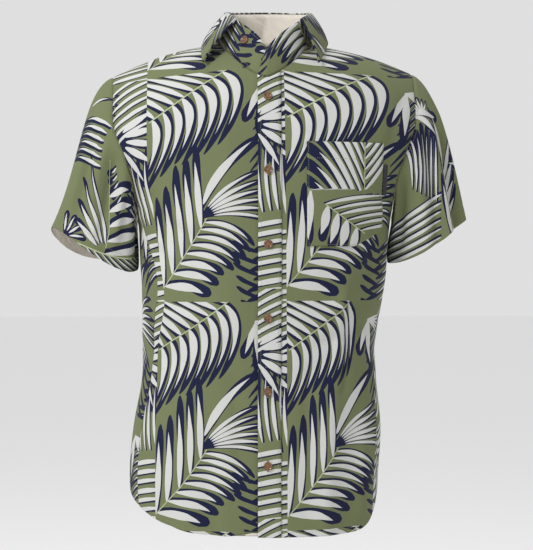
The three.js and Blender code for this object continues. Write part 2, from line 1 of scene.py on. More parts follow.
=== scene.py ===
"""A short-sleeved shirt with a palm-leaf print, filled out as if worn, with nobody in it.

Sizes are in millimetres until a mesh is made, which is in metres. +X is the wearer's left,
the front faces -Y and +Z is up. The origin is the middle of the neck, and a drop is a
distance below it. Angles go round the body from the centre front, in degrees.
"""

import logging
import math
from dataclasses import dataclass, field
from enum import Enum
from typing import Any, Callable, ClassVar, Union

import bpy
import numpy as np
from mathutils import Matrix, Vector

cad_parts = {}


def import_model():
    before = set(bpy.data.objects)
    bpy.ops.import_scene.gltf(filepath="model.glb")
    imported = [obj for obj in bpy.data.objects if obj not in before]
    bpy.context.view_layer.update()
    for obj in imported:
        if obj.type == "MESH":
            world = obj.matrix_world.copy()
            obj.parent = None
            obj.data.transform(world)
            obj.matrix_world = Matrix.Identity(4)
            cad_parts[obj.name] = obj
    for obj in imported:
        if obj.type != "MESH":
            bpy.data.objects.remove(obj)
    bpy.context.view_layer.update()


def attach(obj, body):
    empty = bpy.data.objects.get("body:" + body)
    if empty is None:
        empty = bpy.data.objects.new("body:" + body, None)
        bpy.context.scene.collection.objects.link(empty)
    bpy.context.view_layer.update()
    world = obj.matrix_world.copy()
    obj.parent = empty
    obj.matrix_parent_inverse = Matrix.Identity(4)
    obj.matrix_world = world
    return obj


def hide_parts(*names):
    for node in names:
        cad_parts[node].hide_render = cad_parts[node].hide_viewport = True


LOG = logging.getLogger("shirt")
BODY = "root"
TO_METRES = 0.001
Values = Union[float, np.ndarray]


class Side(Enum):
    """The wearer's left or right; the value is the sign of X."""

    LEFT = 1
    RIGHT = -1


class Face(Enum):
    """The front or the back of the body."""

    FRONT = "front"
    BACK = "back"


def add_object(name: str, data: bpy.types.ID) -> bpy.types.Object:
    """Puts a new object with a mesh, a light or a camera into the scene."""
    made = bpy.data.objects.new(name, data)
    bpy.context.scene.collection.objects.link(made)
    return made


# How the cloth lies


@dataclass(frozen=True)
class SmoothTable:
    """Sizes that change smoothly along one size, which is the first column."""

    rows: tuple[tuple[float, ...], ...]

    def at(self, where: Values, column: int = 1) -> np.ndarray:
        """Reads a column between the table's rows.

        Args:
            where: values of the first column.
            column: the column to read.

        Returns:
            The smooth value at each place, held level past the ends.
        """
        table = np.array(self.rows, float)
        keys, sizes = table[:, 0], table[:, column]
        lower = np.maximum(np.arange(len(keys)) - 1, 0)
        upper = np.minimum(np.arange(len(keys)) + 1, len(keys) - 1)
        slopes = (sizes[upper] - sizes[lower]) / (keys[upper] - keys[lower])
        place = np.clip(np.asarray(where, float), keys[0], keys[-1])
        end = np.clip(np.searchsorted(keys, place), 1, len(keys) - 1)
        start = end - 1
        span = keys[end] - keys[start]
        t = (place - keys[start]) / span
        bend = (slopes[start] * span * (1 - t) - slopes[end] * span * t) * t * (1 - t)
        return sizes[start] + (sizes[end] - sizes[start]) * t * t * (3 - 2 * t) + bend

    def points(self, where: np.ndarray) -> np.ndarray:
        """Reads x, y and z from the second, third and fourth columns."""
        return np.stack([self.at(where, column) for column in (1, 2, 3)], axis=-1)


FOLD_END = 1.6


@dataclass(frozen=True)
class Fold:
    """A soft ridge, or a trough where the depth is below zero, from one point to another."""

    x: float
    drop: float
    to_x: float
    to_drop: float
    width: float
    depth: float
    bow: float = 0.0

    def lift(self, x: np.ndarray, drop: np.ndarray) -> np.ndarray:
        """How far this fold lifts the cloth, which fades off past the fold's ends.

        Args:
            x: places across the body.
            drop: places down the body.

        Returns:
            The lift at each place.
        """
        run_x, run_drop = self.to_x - self.x, self.to_drop - self.drop
        length = math.hypot(run_x, run_drop)
        share = ((x - self.x) * run_x + (drop - self.drop) * run_drop) / length**2
        across = ((x - self.x) * run_drop - (drop - self.drop) * run_x) / length
        inside = np.clip(share, 0, 1)
        across = across - self.bow * 4 * inside * (1 - inside)
        past = np.maximum(0, np.maximum(-share, share - 1)) * length
        fade = (across / self.width) ** 2 + (past / (FOLD_END * self.width)) ** 2
        return self.depth * np.exp(-fade)


FRONT_FOLDS = tuple(Fold(*sizes) for sizes in (
    (-168, 285, -96, 372, 17, -4.5), (-150, 250, -70, 300, 16, 3.5),
    (166, 330, 104, 452, 18, -4.5), (120, 360, 92, 560, 19, 4), (-150, 470, -60, 520, 18, -3.5),
    (-128, 560, -112, 735, 20, 4.5), (130, 590, 118, 735, 20, -4), (152, 470, 70, 500, 17, -3),
    (126, 396, 112, 520, 5.2, -4.2, 4), (112, 380, 100, 500, 5.2, 2.9, 3),
    (-176, 236, -118, 296, 8.4, -4.2, -4), (-182, 268, -120, 338, 8.4, 3.5, -5),
    (-160, 318, -92, 402, 9.5, -2.9, -4), (-206, 118, -164, 236, 9.5, -3.5, 6),
    (-150, 410, -70, 438, 10.5, 2.6, 5), (-58, 470, -40, 640, 12.6, -2.4, 4),
    (-86, 590, -80, 735, 10.5, -2.9), (-150, 600, -140, 720, 9.5, -2.6),
    (186, 226, 152, 316, 9.5, -3.8, -5), (176, 250, 140, 340, 8.4, 3.2, -5),
    (206, 96, 178, 220, 9.5, -2.9, -5), (160, 356, 96, 404, 9.5, 3.2, 4),
    (156, 420, 84, 452, 9.5, -3, 4), (66, 500, 60, 690, 12.6, -2.6, -4),
    (92, 600, 88, 735, 10.5, 2.9), (150, 560, 146, 700, 9.5, 2.7),
    (-120, 96, -60, 150, 14.7, 1.9, 4), (120, 70, 64, 128, 14.7, 1.9, -4),
))
BACK_FOLDS = tuple(Fold(*sizes) for sizes in (
    (-170, 280, -80, 390, 18, -5), (170, 280, 90, 400, 18, -5), (-110, 440, 60, 462, 18, 4.5),
    (-60, 500, 120, 482, 17, -4), (-60, 560, -72, 735, 24, 5), (50, 580, 66, 735, 24, 5),
    (0, 590, -4, 735, 22, -4), (-186, 240, -120, 320, 9.5, -4.2, 5),
    (-178, 262, -104, 350, 8.4, 3.5, 6), (188, 236, 122, 312, 9.5, -4.2, -5),
    (180, 258, 100, 356, 8.4, 3.5, -6), (-150, 392, -30, 430, 11.6, -3.5, 8),
    (140, 404, 20, 440, 11.6, -3.5, -8), (-150, 470, 30, 505, 12.6, 3.5, 10),
    (150, 520, 10, 548, 12.6, 3.5, -8), (-110, 560, -122, 735, 11.6, -3.2),
    (112, 560, 124, 735, 11.6, -3.2), (-30, 620, -34, 735, 10.5, 2.9),
    (26, 610, 30, 735, 10.5, 2.9), (-190, 120, -150, 220, 12.6, 2.9, -6),
    (190, 120, 150, 220, 12.6, 2.9, 6),
))


def sides(left: float, right: float) -> Any:
    """A dataclass field with one size for the wearer's left and one for the right."""
    return field(default_factory=lambda: {Side.LEFT: left, Side.RIGHT: right})


@dataclass(frozen=True)
class Cut:
    """The sizes that the pattern pieces share."""

    laid_gap: float = 0.4
    solid_cloth: float = 1.6
    neck_half: float = 72
    neck_front_drop: float = 64
    neck_back_rise: float = 5
    shoulder_half: float = 229
    shoulder_drop: dict[Side, float] = sides(43, 50)
    shoulder_arch: dict[Side, float] = sides(6.5, 8)
    underarm_drop: float = 262
    length: float = 734
    side_hem_drop: float = 694
    tail_rise: dict[Side, float] = sides(76, 54)
    tail_angle: float = 95
    tail_width: dict[Side, float] = sides(25, 43)
    lap: float = 13
    lap_recess: float = 3.5
    lap_fade: tuple[float, float] = (21, 55)
    underlap_short: float = 6
    yoke_share: float = 0.6
    hem_wide: float = 8.0
    hem_stitch: float = 7.0
    seam_stitch: float = 3.5
    armhole_stitch: float = 4.0
    placket_fold: float = 5.0
    placket_stitch: float = 4.5


@dataclass(frozen=True)
class BodyForm:
    """The surface that the fronts, the back and the yoke lie on."""

    cut: Cut

    SECTION = SmoothTable((
        (-30, 250, 108, 102, 0), (0, 250, 112, 107, 0), (60, 250, 120, 118, 0),
        (130, 248, 129, 127, 0), (170, 236, 134, 130, 0), (215, 212, 138, 129, 1),
        (262, 195, 140, 125, 1), (348, 188, 138, 116, 1), (398, 183, 134, 111, -2),
        (447, 179, 129, 109, -6), (508, 179, 127, 112, -6), (582, 189, 129, 120, -9),
        (656, 190, 131, 124, -14), (740, 185, 131, 124, -13),
    ))
    HALF, FRONT_DEPTH, BACK_DEPTH, SHIFT = 1, 2, 3, 4
    ARMHOLE = ((50, 64.7), (90, 64.2), (130, 64.2), (170, 62), (215, 67))
    FRONT_EDGE = {
        Side.LEFT: SmoothTable((
            *ARMHOLE, (262, 82), (350, 84), (447, 82), (508, 74), (582, 68), (740, 68),
        )),
        Side.RIGHT: SmoothTable((
            *ARMHOLE, (262, 76), (350, 58), (447, 63), (508, 66), (582, 68), (740, 69),
        )),
    }
    BACK_ARMHOLE = ((50, 64.7), (90, 64.2), (130, 64), (170, 66), (215, 76))
    RIDGE_Y = 5
    ROUND = {Face.FRONT: 130, Face.BACK: 110}
    SQUARENESS = 2.3

    def ridge_drop(self, x: np.ndarray) -> np.ndarray:
        """How far the shoulder's ridge lies below the neck.

        Args:
            x: places across the shoulders.

        Returns:
            The ridge's drop at each place.
        """
        share = (np.abs(x) - self.cut.neck_half) / (self.cut.shoulder_half - self.cut.neck_half)
        arch = np.sin(np.pi * np.clip(share, 0, 1))
        left, right = (
            self.cut.shoulder_drop[side] * share - self.cut.shoulder_arch[side] * arch
            for side in (Side.LEFT, Side.RIGHT)
        )
        return np.where(x > 0, left, right)

    def angle_at(self, x: Values, drop: Values) -> np.ndarray:
        """The angle round the body, from its centre line, of places across and down it."""
        share = np.minimum(1, np.abs(x) / self.SECTION.at(drop, self.HALF))
        return np.sign(x) * np.degrees(np.arcsin(share ** (self.SQUARENESS / 2)))

    def point(self, angle: np.ndarray, drop: np.ndarray) -> np.ndarray:
        """Points on the body's surface.

        Args:
            angle: angles round the body.
            drop: how far down they are.

        Returns:
            One point for each, as rows of x, y and z.
        """
        turned = np.radians(angle)
        sine = np.abs(np.sin(turned)) ** (2 / self.SQUARENESS)
        cosine = np.cos(turned)
        in_front = cosine > 0
        front = self.SECTION.at(drop, self.FRONT_DEPTH)
        depth = np.where(in_front, front, self.SECTION.at(drop, self.BACK_DEPTH))
        across = self.SECTION.at(drop, self.HALF) * sine
        flat = -np.sign(cosine) * depth * np.abs(cosine) ** (2 / self.SQUARENESS)
        below = drop - self.ridge_drop(np.sign(angle) * across)
        reach = np.where(in_front, self.ROUND[Face.FRONT], self.ROUND[Face.BACK])
        fullness = np.sqrt(1 - (1 - np.clip(below / reach, 0, 1)) ** 2)
        x = np.sign(angle) * across + self.SECTION.at(drop, self.SHIFT) * sine * sine
        y = self.RIDGE_Y + (flat - self.RIDGE_Y) * fullness
        front_lift = sum(fold.lift(x, drop) for fold in FRONT_FOLDS)
        back_lift = sum(fold.lift(x, drop) for fold in BACK_FOLDS)
        fold = np.where(in_front, front_lift, back_lift) * fullness
        return np.stack([x + np.sin(turned) * fold, y - cosine * fold, -drop], axis=-1)

    def hem_drop(self, angle: float) -> float:
        """How far down the hem is at an angle round the body."""
        side = Side.LEFT if angle > 0 else Side.RIGHT
        away = (abs(angle) - self.cut.tail_angle) / self.cut.tail_width[side]
        return self.cut.length - self.cut.tail_rise[side] * math.exp(-away * away)

    def edge(self, side: Side, face: Face, drop: Values) -> np.ndarray:
        """The outer edge of a front or a back half, as an angle from its own centre line.

        Args:
            side: the wearer's left or right.
            face: front or back.
            drop: how far down.

        Returns:
            The angle of the armhole or the side seam.
        """
        front = self.FRONT_EDGE[side].at(drop)
        if face is Face.FRONT:
            return front
        underarm = 180 - float(self.FRONT_EDGE[side].at(self.cut.underarm_drop))
        armhole = SmoothTable(self.BACK_ARMHOLE + ((self.cut.underarm_drop, underarm),))
        return np.where(np.asarray(drop) >= self.cut.underarm_drop, 180 - front, armhole.at(drop))

    def neck_drop(self, face: Face, x: float) -> float:
        """How far down the neckline is at a place across the front or the back."""
        share = abs(x) / self.cut.neck_half
        if face is Face.FRONT:
            return self.cut.neck_front_drop * (1 - share**1.5)
        return -self.cut.neck_back_rise * (1 - share * share)


@dataclass(frozen=True)
class GridSteps:
    """Where the columns and rows of the body's grids lie, closer together beside the seams."""

    neck_steps: int = 4
    side_steps: int = 30
    armhole_steps: int = 60
    lower_steps: int = 112
    side_fine: tuple[float, ...] = (0.006, 0.014, 0.026)
    yoke_fine: tuple[float, ...] = (0.0027, 0.0063, 0.0117)
    hem_fine: tuple[float, ...] = (0.003, 0.008, 0.014)
    least_gap: float = 0.002
    top_ease: float = 0.95

    def near(self, count: int, seam: float, fine: tuple[float, ...]) -> np.ndarray:
        """Even steps from 0 to 1, and some more close to a seam.

        Args:
            count: how many even steps.
            seam: the seam's place.
            fine: how far from the seam the extra steps lie.

        Returns:
            All the steps in order.
        """
        extra = [seam + sign * gap for sign in (-1, 1) for gap in fine]
        inside = [place for place in extra if 0 < place < 1]
        every = np.sort(np.concatenate([np.linspace(0, 1, count + 1), inside]))
        keep = np.concatenate([[True], np.diff(every) > self.least_gap])
        keep[-1] = True
        return every[keep]

    def neck_front(self, cut: Cut) -> np.ndarray:
        """Columns across the front from the lap to the neck point."""
        return np.linspace(-cut.lap, cut.neck_half, 5 * self.neck_steps + 1)

    def neck_back(self, cut: Cut) -> np.ndarray:
        """Columns across the back from the centre to the neck point."""
        return np.linspace(0, cut.neck_half, 4 * self.neck_steps + 1)

    def side(self) -> np.ndarray:
        """Columns from the neck point to the armhole and side seam, as shares."""
        return self.near(self.side_steps, 1.0, self.side_fine)[1:]

    def armhole(self, cut: Cut) -> np.ndarray:
        """Rows from the shoulder to the underarm, as shares."""
        steps = self.near(self.armhole_steps, cut.yoke_share, self.yoke_fine)
        steps[np.argmin(np.abs(steps - cut.yoke_share))] = cut.yoke_share
        return steps

    def shares(self, cut: Cut) -> np.ndarray:
        """Rows from the top edge to the hem, as shares of the whole way.

        Args:
            cut: the sizes that the pieces share.

        Returns:
            The shares.
        """
        whole = cut.side_hem_drop - cut.shoulder_drop[Side.LEFT]
        armhole = (cut.underarm_drop - cut.shoulder_drop[Side.LEFT]) / whole
        top = armhole * (1 - np.cos(math.pi / 2 * self.armhole(cut))) ** self.top_ease
        lower = self.near(self.lower_steps, 1.0, self.hem_fine)
        return np.concatenate([top, armhole + (1 - armhole) * lower[1:]])


def body_inside(points: np.ndarray, ahead: float = 0.0, below: float = 60.0) -> np.ndarray:
    """Points inside the shirt, ahead of the body's middle line and below each point."""
    return points * (0, 0, 1) - (0, ahead, below)


@dataclass
class Sheet:
    """A grid of points, column by column, with the way that its outside faces."""

    points: np.ndarray
    wraps: bool = False
    inside: Callable[[np.ndarray], np.ndarray] = body_inside
    outs: np.ndarray = field(init=False)
    turned: bool = field(init=False)

    def __post_init__(self) -> None:
        """Works out which way the outside faces."""
        points = self.points
        if self.wraps:
            across = np.roll(points, -1, 0) - np.roll(points, 1, 0)
        else:
            padded = np.concatenate([points[:1], points, points[-1:]])
            across = padded[2:] - padded[:-2]
        padded = np.concatenate([points[:, :1], points, points[:, -1:]], axis=1)
        outs = np.cross(across, padded[:, 2:] - padded[:, :-2])
        outs /= np.linalg.norm(outs, axis=-1, keepdims=True)
        self.turned = float(np.sum(outs * (points - self.inside(points)))) < 0
        self.outs = -outs if self.turned else outs

    def cut_out(self, columns: slice, rows: slice) -> "Sheet":
        """A part of the sheet with the same outside.

        Args:
            columns: the columns to keep.
            rows: the rows to keep.

        Returns:
            The smaller sheet.
        """
        part = Sheet(self.points[columns, rows], False, self.inside)
        part.outs, part.turned = self.outs[columns, rows], self.turned
        return part

    def run(self, axis: int) -> np.ndarray:
        """The length of cloth to each point, from the first column (0) or the first row (1)."""
        steps = np.linalg.norm(np.diff(self.points, axis=axis), axis=-1)
        return np.insert(np.cumsum(steps, axis=axis), 0, 0, axis=axis)


@dataclass
class Seams:
    """What is sewn along a sheet's four edges: widths of turned hems and sunk seams."""

    sunk: tuple[str, ...] = ()
    hems: dict[str, float] = field(default_factory=dict)
    depth: float = 0.8
    reach: float = 2.4
    ridge_depth: float = 0.35
    ridge_reach: float = 1.3
    edge_depth: float = 0.5
    edge_reach: float = 1.0
    turned_cloth: float = 0.5
    turned_past: float = 1.5

    def distances(self, sheet: Sheet) -> dict[str, np.ndarray]:
        """The length of cloth from each edge to each point, by the edge's name."""
        across, down = sheet.run(0), sheet.run(1)
        return {
            "first": across,
            "last": across[-1:] - across,
            "top": down,
            "bottom": down[:, -1:] - down,
        }

    def lift(self, far: dict[str, np.ndarray]) -> np.ndarray:
        """How far the outside moves out, or in where it is below zero.

        Args:
            far: the distances from the edges, by name.

        Returns:
            The lift at each point.
        """
        moved = np.zeros_like(far["top"])
        for edge in self.sunk:
            moved -= self.depth * np.exp(-((far[edge] / self.reach) ** 2))
        for edge, wide in self.hems.items():
            moved -= self.ridge_depth * np.exp(-(((far[edge] - wide) / self.ridge_reach) ** 2))
            moved -= self.edge_depth * np.exp(-((far[edge] / self.edge_reach) ** 2))
        return moved

    def thickness(self, far: dict[str, np.ndarray], cloth: float) -> np.ndarray:
        """How thick the cloth is, with its turned hems.

        Args:
            far: the distances from the edges.
            cloth: the thickness of one layer.

        Returns:
            The thickness at each point.
        """
        thick = np.full_like(far["top"], cloth)
        for edge, wide in self.hems.items():
            thick += self.turned_cloth * cloth * (far[edge] < wide + self.turned_past)
        return thick


@dataclass
class Sewing:
    """Every visible stitch of the shirt, gathered while the pieces are made."""

    long: float = 2.3
    step: float = 3.1
    wide: float = 0.55
    high: float = 0.35
    shoulder_at: float = 0.28
    section: tuple[tuple[float, float], ...] = ((-1, 0.1), (0, 0.8), (1, 0.1), (0, -0.6))
    slit_step: float = 0.7
    slit_aside: float = 0.85
    slit_stitch: tuple[float, float] = (1.5, 0.8)
    bar_past: float = 0.4
    bar_stitch: tuple[float, float] = (3.2, 0.9)
    points: list[np.ndarray] = field(default_factory=list)

    def stitch(
        self, centre: np.ndarray, along: np.ndarray, out: np.ndarray, long: float, wide: float
    ) -> None:
        """Adds one stitch, pointed at both ends.

        Args:
            centre: the stitch's middle.
            along: its direction.
            out: the way that the cloth faces.
            long: its length.
            wide: its width.
        """
        aside = np.cross(out, along)
        shoulders = [
            centre + along * long * at + aside * wide * side / 2 + out * self.high * up
            for at in (-self.shoulder_at, self.shoulder_at)
            for side, up in self.section
        ]
        ends = [centre + along * long * at - out * self.high * 0.5 for at in (-0.5, 0.5)]
        self.points.append(np.array(ends + shoulders))

    def run(self, line: np.ndarray, outs: np.ndarray) -> None:
        """Adds a row of stitches along a line.

        Args:
            line: points along the row.
            outs: the way that the cloth faces at each point.
        """
        gaps = np.linalg.norm(np.diff(line, axis=0), axis=1)
        far = np.insert(np.cumsum(gaps), 0, 0)
        for middle in np.arange(self.step, far[-1] - self.step / 2, self.step):
            start, end = (
                np.array([np.interp(at, far, line[:, axis]) for axis in range(3)])
                for at in (middle - 1, middle + 1)
            )
            out = np.array([np.interp(middle, far, outs[:, axis]) for axis in range(3)])
            out /= np.linalg.norm(out)
            along = (end - start) / np.linalg.norm(end - start)
            self.stitch((start + end) / 2, along, out, self.long, self.wide)

    def buttonhole(
        self, centre: np.ndarray, along: np.ndarray, out: np.ndarray, long: float
    ) -> None:
        """Adds a worked buttonhole.

        Args:
            centre: its middle.
            along: the direction of its slit.
            out: the way that the cloth faces.
            long: its length.
        """
        aside = np.cross(out, along)
        for side in (-1, 1):
            for at in np.arange(-long / 2, long / 2 + 0.1, self.slit_step):
                place = centre + along * at + aside * side * self.slit_aside
                self.stitch(place, aside, out, *self.slit_stitch)
        for end in (-1, 1):
            place = centre + along * end * (long / 2 + self.bar_past)
            self.stitch(place, aside, out, *self.bar_stitch)

    def build(self, finishes: "Finishes") -> None:
        """Makes all the stitches as one piece.

        Args:
            finishes: the materials.
        """
        turns = [(a, (a + 1) % 4) for a in range(4)]
        shape = [(2 + a, 2 + b, 6 + b, 6 + a) for a, b in turns]
        shape += [(0, 2 + b, 2 + a) for a, b in turns] + [(1, 6 + a, 6 + b) for a, b in turns]
        faces = [
            tuple(10 * number + corner for corner in face)
            for number in range(len(self.points))
            for face in shape
        ]
        mesh = bpy.data.meshes.new("topstitching")
        mesh.from_pydata((np.concatenate(self.points) * TO_METRES).tolist(), [], faces)
        mesh.shade_smooth()
        mesh.materials.append(finishes.thread)
        made = add_object("topstitching", mesh)
        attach(made, BODY)
        LOG.info("topstitching: %d stitches", len(self.points))


@dataclass
class ClothPiece:
    """One pattern piece: its sheet, its print, its seams and its flat size in metres."""

    name: str
    nodes: tuple[str, ...]
    sheet: Sheet
    print_at: np.ndarray
    flat: tuple[float, float]
    area: float
    held: str
    rests_on: tuple[str, ...] = ()
    seams: Seams = field(default_factory=Seams)
    cloth: float = 1.2
    lift: float = 0.0
    sewn: tuple[tuple[str, float], ...] = ()

    def build(
        self, finishes: "Finishes", printed: bpy.types.Material | None = None
    ) -> bpy.types.Object:
        """Makes the closed shell and dresses it.

        Args:
            finishes: the materials.
            printed: the print on its outside, if it isn't the common one.

        Returns:
            The finished object.
        """
        far = self.seams.distances(self.sheet)
        lift = (self.seams.lift(far) + self.lift)[..., None]
        thick = self.seams.thickness(far, self.cloth)[..., None]
        outer = self.sheet.points + self.sheet.outs * lift
        inner = outer - self.sheet.outs * thick
        for edge, wide in self.sewn:
            self._sew(finishes.sewing, outer, far[edge], edge, wide)
        edges = np.stack([far["first"], far["last"]], axis=-1)
        made = self._mesh(outer, inner, {"print": self.print_at, "edges": edges})
        made.data.materials.append(printed or finishes.printed)
        made.data.materials.append(finishes.wrong_side)
        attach(made, BODY)
        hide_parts(*self.nodes)
        list(self.rests_on)
        faces = len(made.data.polygons)
        LOG.info("%s: %d faces, %.4f square metres", self.name, faces, self._area())
        return made

    def _sew(
        self, sewing: Sewing, outer: np.ndarray, far: np.ndarray, edge: str, wide: float
    ) -> None:
        """Sews a row of stitches beside an edge.

        Args:
            sewing: where the stitches go.
            outer: the outside's points.
            far: the distance from the edge to each point.
            edge: the edge's name.
            wide: the row's distance from the edge.
        """
        outs = self.sheet.outs
        if edge in ("first", "last"):
            outer, outs, far = (np.swapaxes(grid, 0, 1) for grid in (outer, outs, far))
        if edge in ("bottom", "last"):
            outer, outs, far = outer[:, ::-1], outs[:, ::-1], far[:, ::-1]
        line, facing = [], []
        for points, normals, distances in zip(outer, outs, far):
            end = int(np.clip(np.searchsorted(distances, wide), 1, len(distances) - 1))
            span = distances[end] - distances[end - 1]
            share = min(1.0, (wide - distances[end - 1]) / span) if span > 0 else 0.0
            line.append(points[end - 1] * (1 - share) + points[end] * share)
            facing.append(normals[end])
        if self.sheet.wraps:
            line.append(line[0])
            facing.append(facing[0])
        sewing.run(np.array(line), np.array(facing))

    def _area(self) -> float:
        """The sheet's area in square metres."""
        p = self.sheet.points
        if self.sheet.wraps:
            p = np.concatenate([p, p[:1]])
        one = np.cross(p[1:, :-1] - p[:-1, :-1], p[:-1, 1:] - p[:-1, :-1])
        two = np.cross(p[1:, :-1] - p[1:, 1:], p[:-1, 1:] - p[1:, 1:])
        whole = np.linalg.norm(one, axis=-1).sum() + np.linalg.norm(two, axis=-1).sum()
        return float(whole) / 2 * TO_METRES**2

    def _mesh(
        self, outer: np.ndarray, inner: np.ndarray, maps: dict[str, np.ndarray]
    ) -> bpy.types.Object:
        """Joins the outside and the inside along the edges.

        Args:
            outer: the outside's points.
            inner: the inside's points.
            maps: a pair of millimetre sizes for each point, by the name of its UV map.

        Returns:
            The object, with the outside's faces first.
        """
        count, rows = outer.shape[:2]
        spans = count if self.sheet.wraps else count - 1
        column, row = np.meshgrid(np.arange(spans), np.arange(rows - 1), indexing="ij")
        corners = np.array([(0, 0), (1, 0), (1, 1), (0, 1)])
        i = column[..., None] + corners[:, 0]
        j = row[..., None] + corners[:, 1]
        sides = np.stack([i, j], axis=-1).reshape(-1, 4, 2)
        if self.sheet.turned:
            sides = sides[:, ::-1]
        rims = []
        for end in (0, rows - 1):
            a = np.stack([np.arange(spans), np.full(spans, end)], axis=-1)
            rims.append((a, a + (1, 0), end == 0))
        if not self.sheet.wraps:
            for end in (0, count - 1):
                a = np.stack([np.full(rows - 1, end), np.arange(rows - 1)], axis=-1)
                rims.append((a, a + (0, 1), end != 0))
        layers = [np.zeros((len(sides), 4), int), np.ones((len(sides), 4), int)]
        faces = [sides, sides[:, ::-1]]
        for a, b, forward in rims:
            loop = np.stack([a, b, b, a], axis=1)
            layer = np.tile([0, 0, 1, 1], (len(a), 1))
            if forward != self.sheet.turned:
                loop, layer = loop[:, ::-1], layer[:, ::-1]
            faces.append(loop)
            layers.append(layer)
        face, layer = np.concatenate(faces), np.concatenate(layers)
        index = layer * count * rows + (face[..., 0] % count) * rows + face[..., 1]
        points = np.concatenate([outer.reshape(-1, 3), inner.reshape(-1, 3)]) * TO_METRES
        mesh = bpy.data.meshes.new(self.name)
        mesh.vertices.add(len(points))
        mesh.vertices.foreach_set("co", points.astype(np.float32).ravel())
        mesh.loops.add(index.size)
        mesh.loops.foreach_set("vertex_index", index.astype(np.int32).ravel())
        mesh.polygons.add(len(index))
        mesh.polygons.foreach_set("loop_start", np.arange(0, index.size, 4, dtype=np.int32))
        on_inside = np.zeros(len(index), np.int32)
        on_inside[len(sides):2 * len(sides)] = 1
        mesh.polygons.foreach_set("material_index", on_inside)
        smooth = np.zeros(len(index), bool)
        smooth[:2 * len(sides)] = True
        mesh.polygons.foreach_set("use_smooth", smooth)
        for name, pairs in maps.items():
            layer_map = mesh.uv_layers.new(name=name)
            if self.sheet.wraps and len(pairs) == count:
                pairs = np.concatenate([pairs, pairs[:1]])
            at = pairs[face[..., 0], face[..., 1]] * TO_METRES
            layer_map.data.foreach_set("uv", at.astype(np.float32).ravel())
        mesh.update(calc_edges=True)
        return add_object(self.name, mesh)


# Finishes


@dataclass(eq=False)
class Socket:
    """A node's output, as a value that takes part in Python sums."""

    shader: "Shader"
    output: bpy.types.NodeSocket | None

    def maths(self, operation: str, *values: Any) -> "Socket":
        """Adds one Math node of that operation, with this value as its first input."""
        inputs = dict(enumerate((self, *values)))
        return self.shader.node("ShaderNodeMath", inputs, operation=operation)

    def __add__(self, other: Any) -> "Socket":
        """This value plus another."""
        return self.maths("ADD", other)

    def __radd__(self, other: Any) -> "Socket":
        """Another value plus this one."""
        return self.maths("ADD", other)

    def __sub__(self, other: Any) -> "Socket":
        """This value less another."""
        return self.maths("SUBTRACT", other)

    def __rsub__(self, other: float) -> "Socket":
        """Another value less this one."""
        return self.maths("MULTIPLY_ADD", -1.0, other)

    def __mul__(self, other: Any) -> "Socket":
        """This value times another."""
        return self.maths("MULTIPLY", other)

    def __rmul__(self, other: Any) -> "Socket":
        """Another value times this one."""
        return self.maths("MULTIPLY", other)

    def __truediv__(self, other: Any) -> "Socket":
        """This value divided by another."""
        return self.maths("DIVIDE", other)

    def __lt__(self, other: Any) -> "Socket":
        """1 where this value is below another, else 0."""
        return self.maths("LESS_THAN", other)

    def __gt__(self, other: Any) -> "Socket":
        """1 where this value is above another, else 0."""
        return self.maths("GREATER_THAN", other)

    def __abs__(self) -> "Socket":
        """This value without its sign."""
        return self.maths("ABSOLUTE")


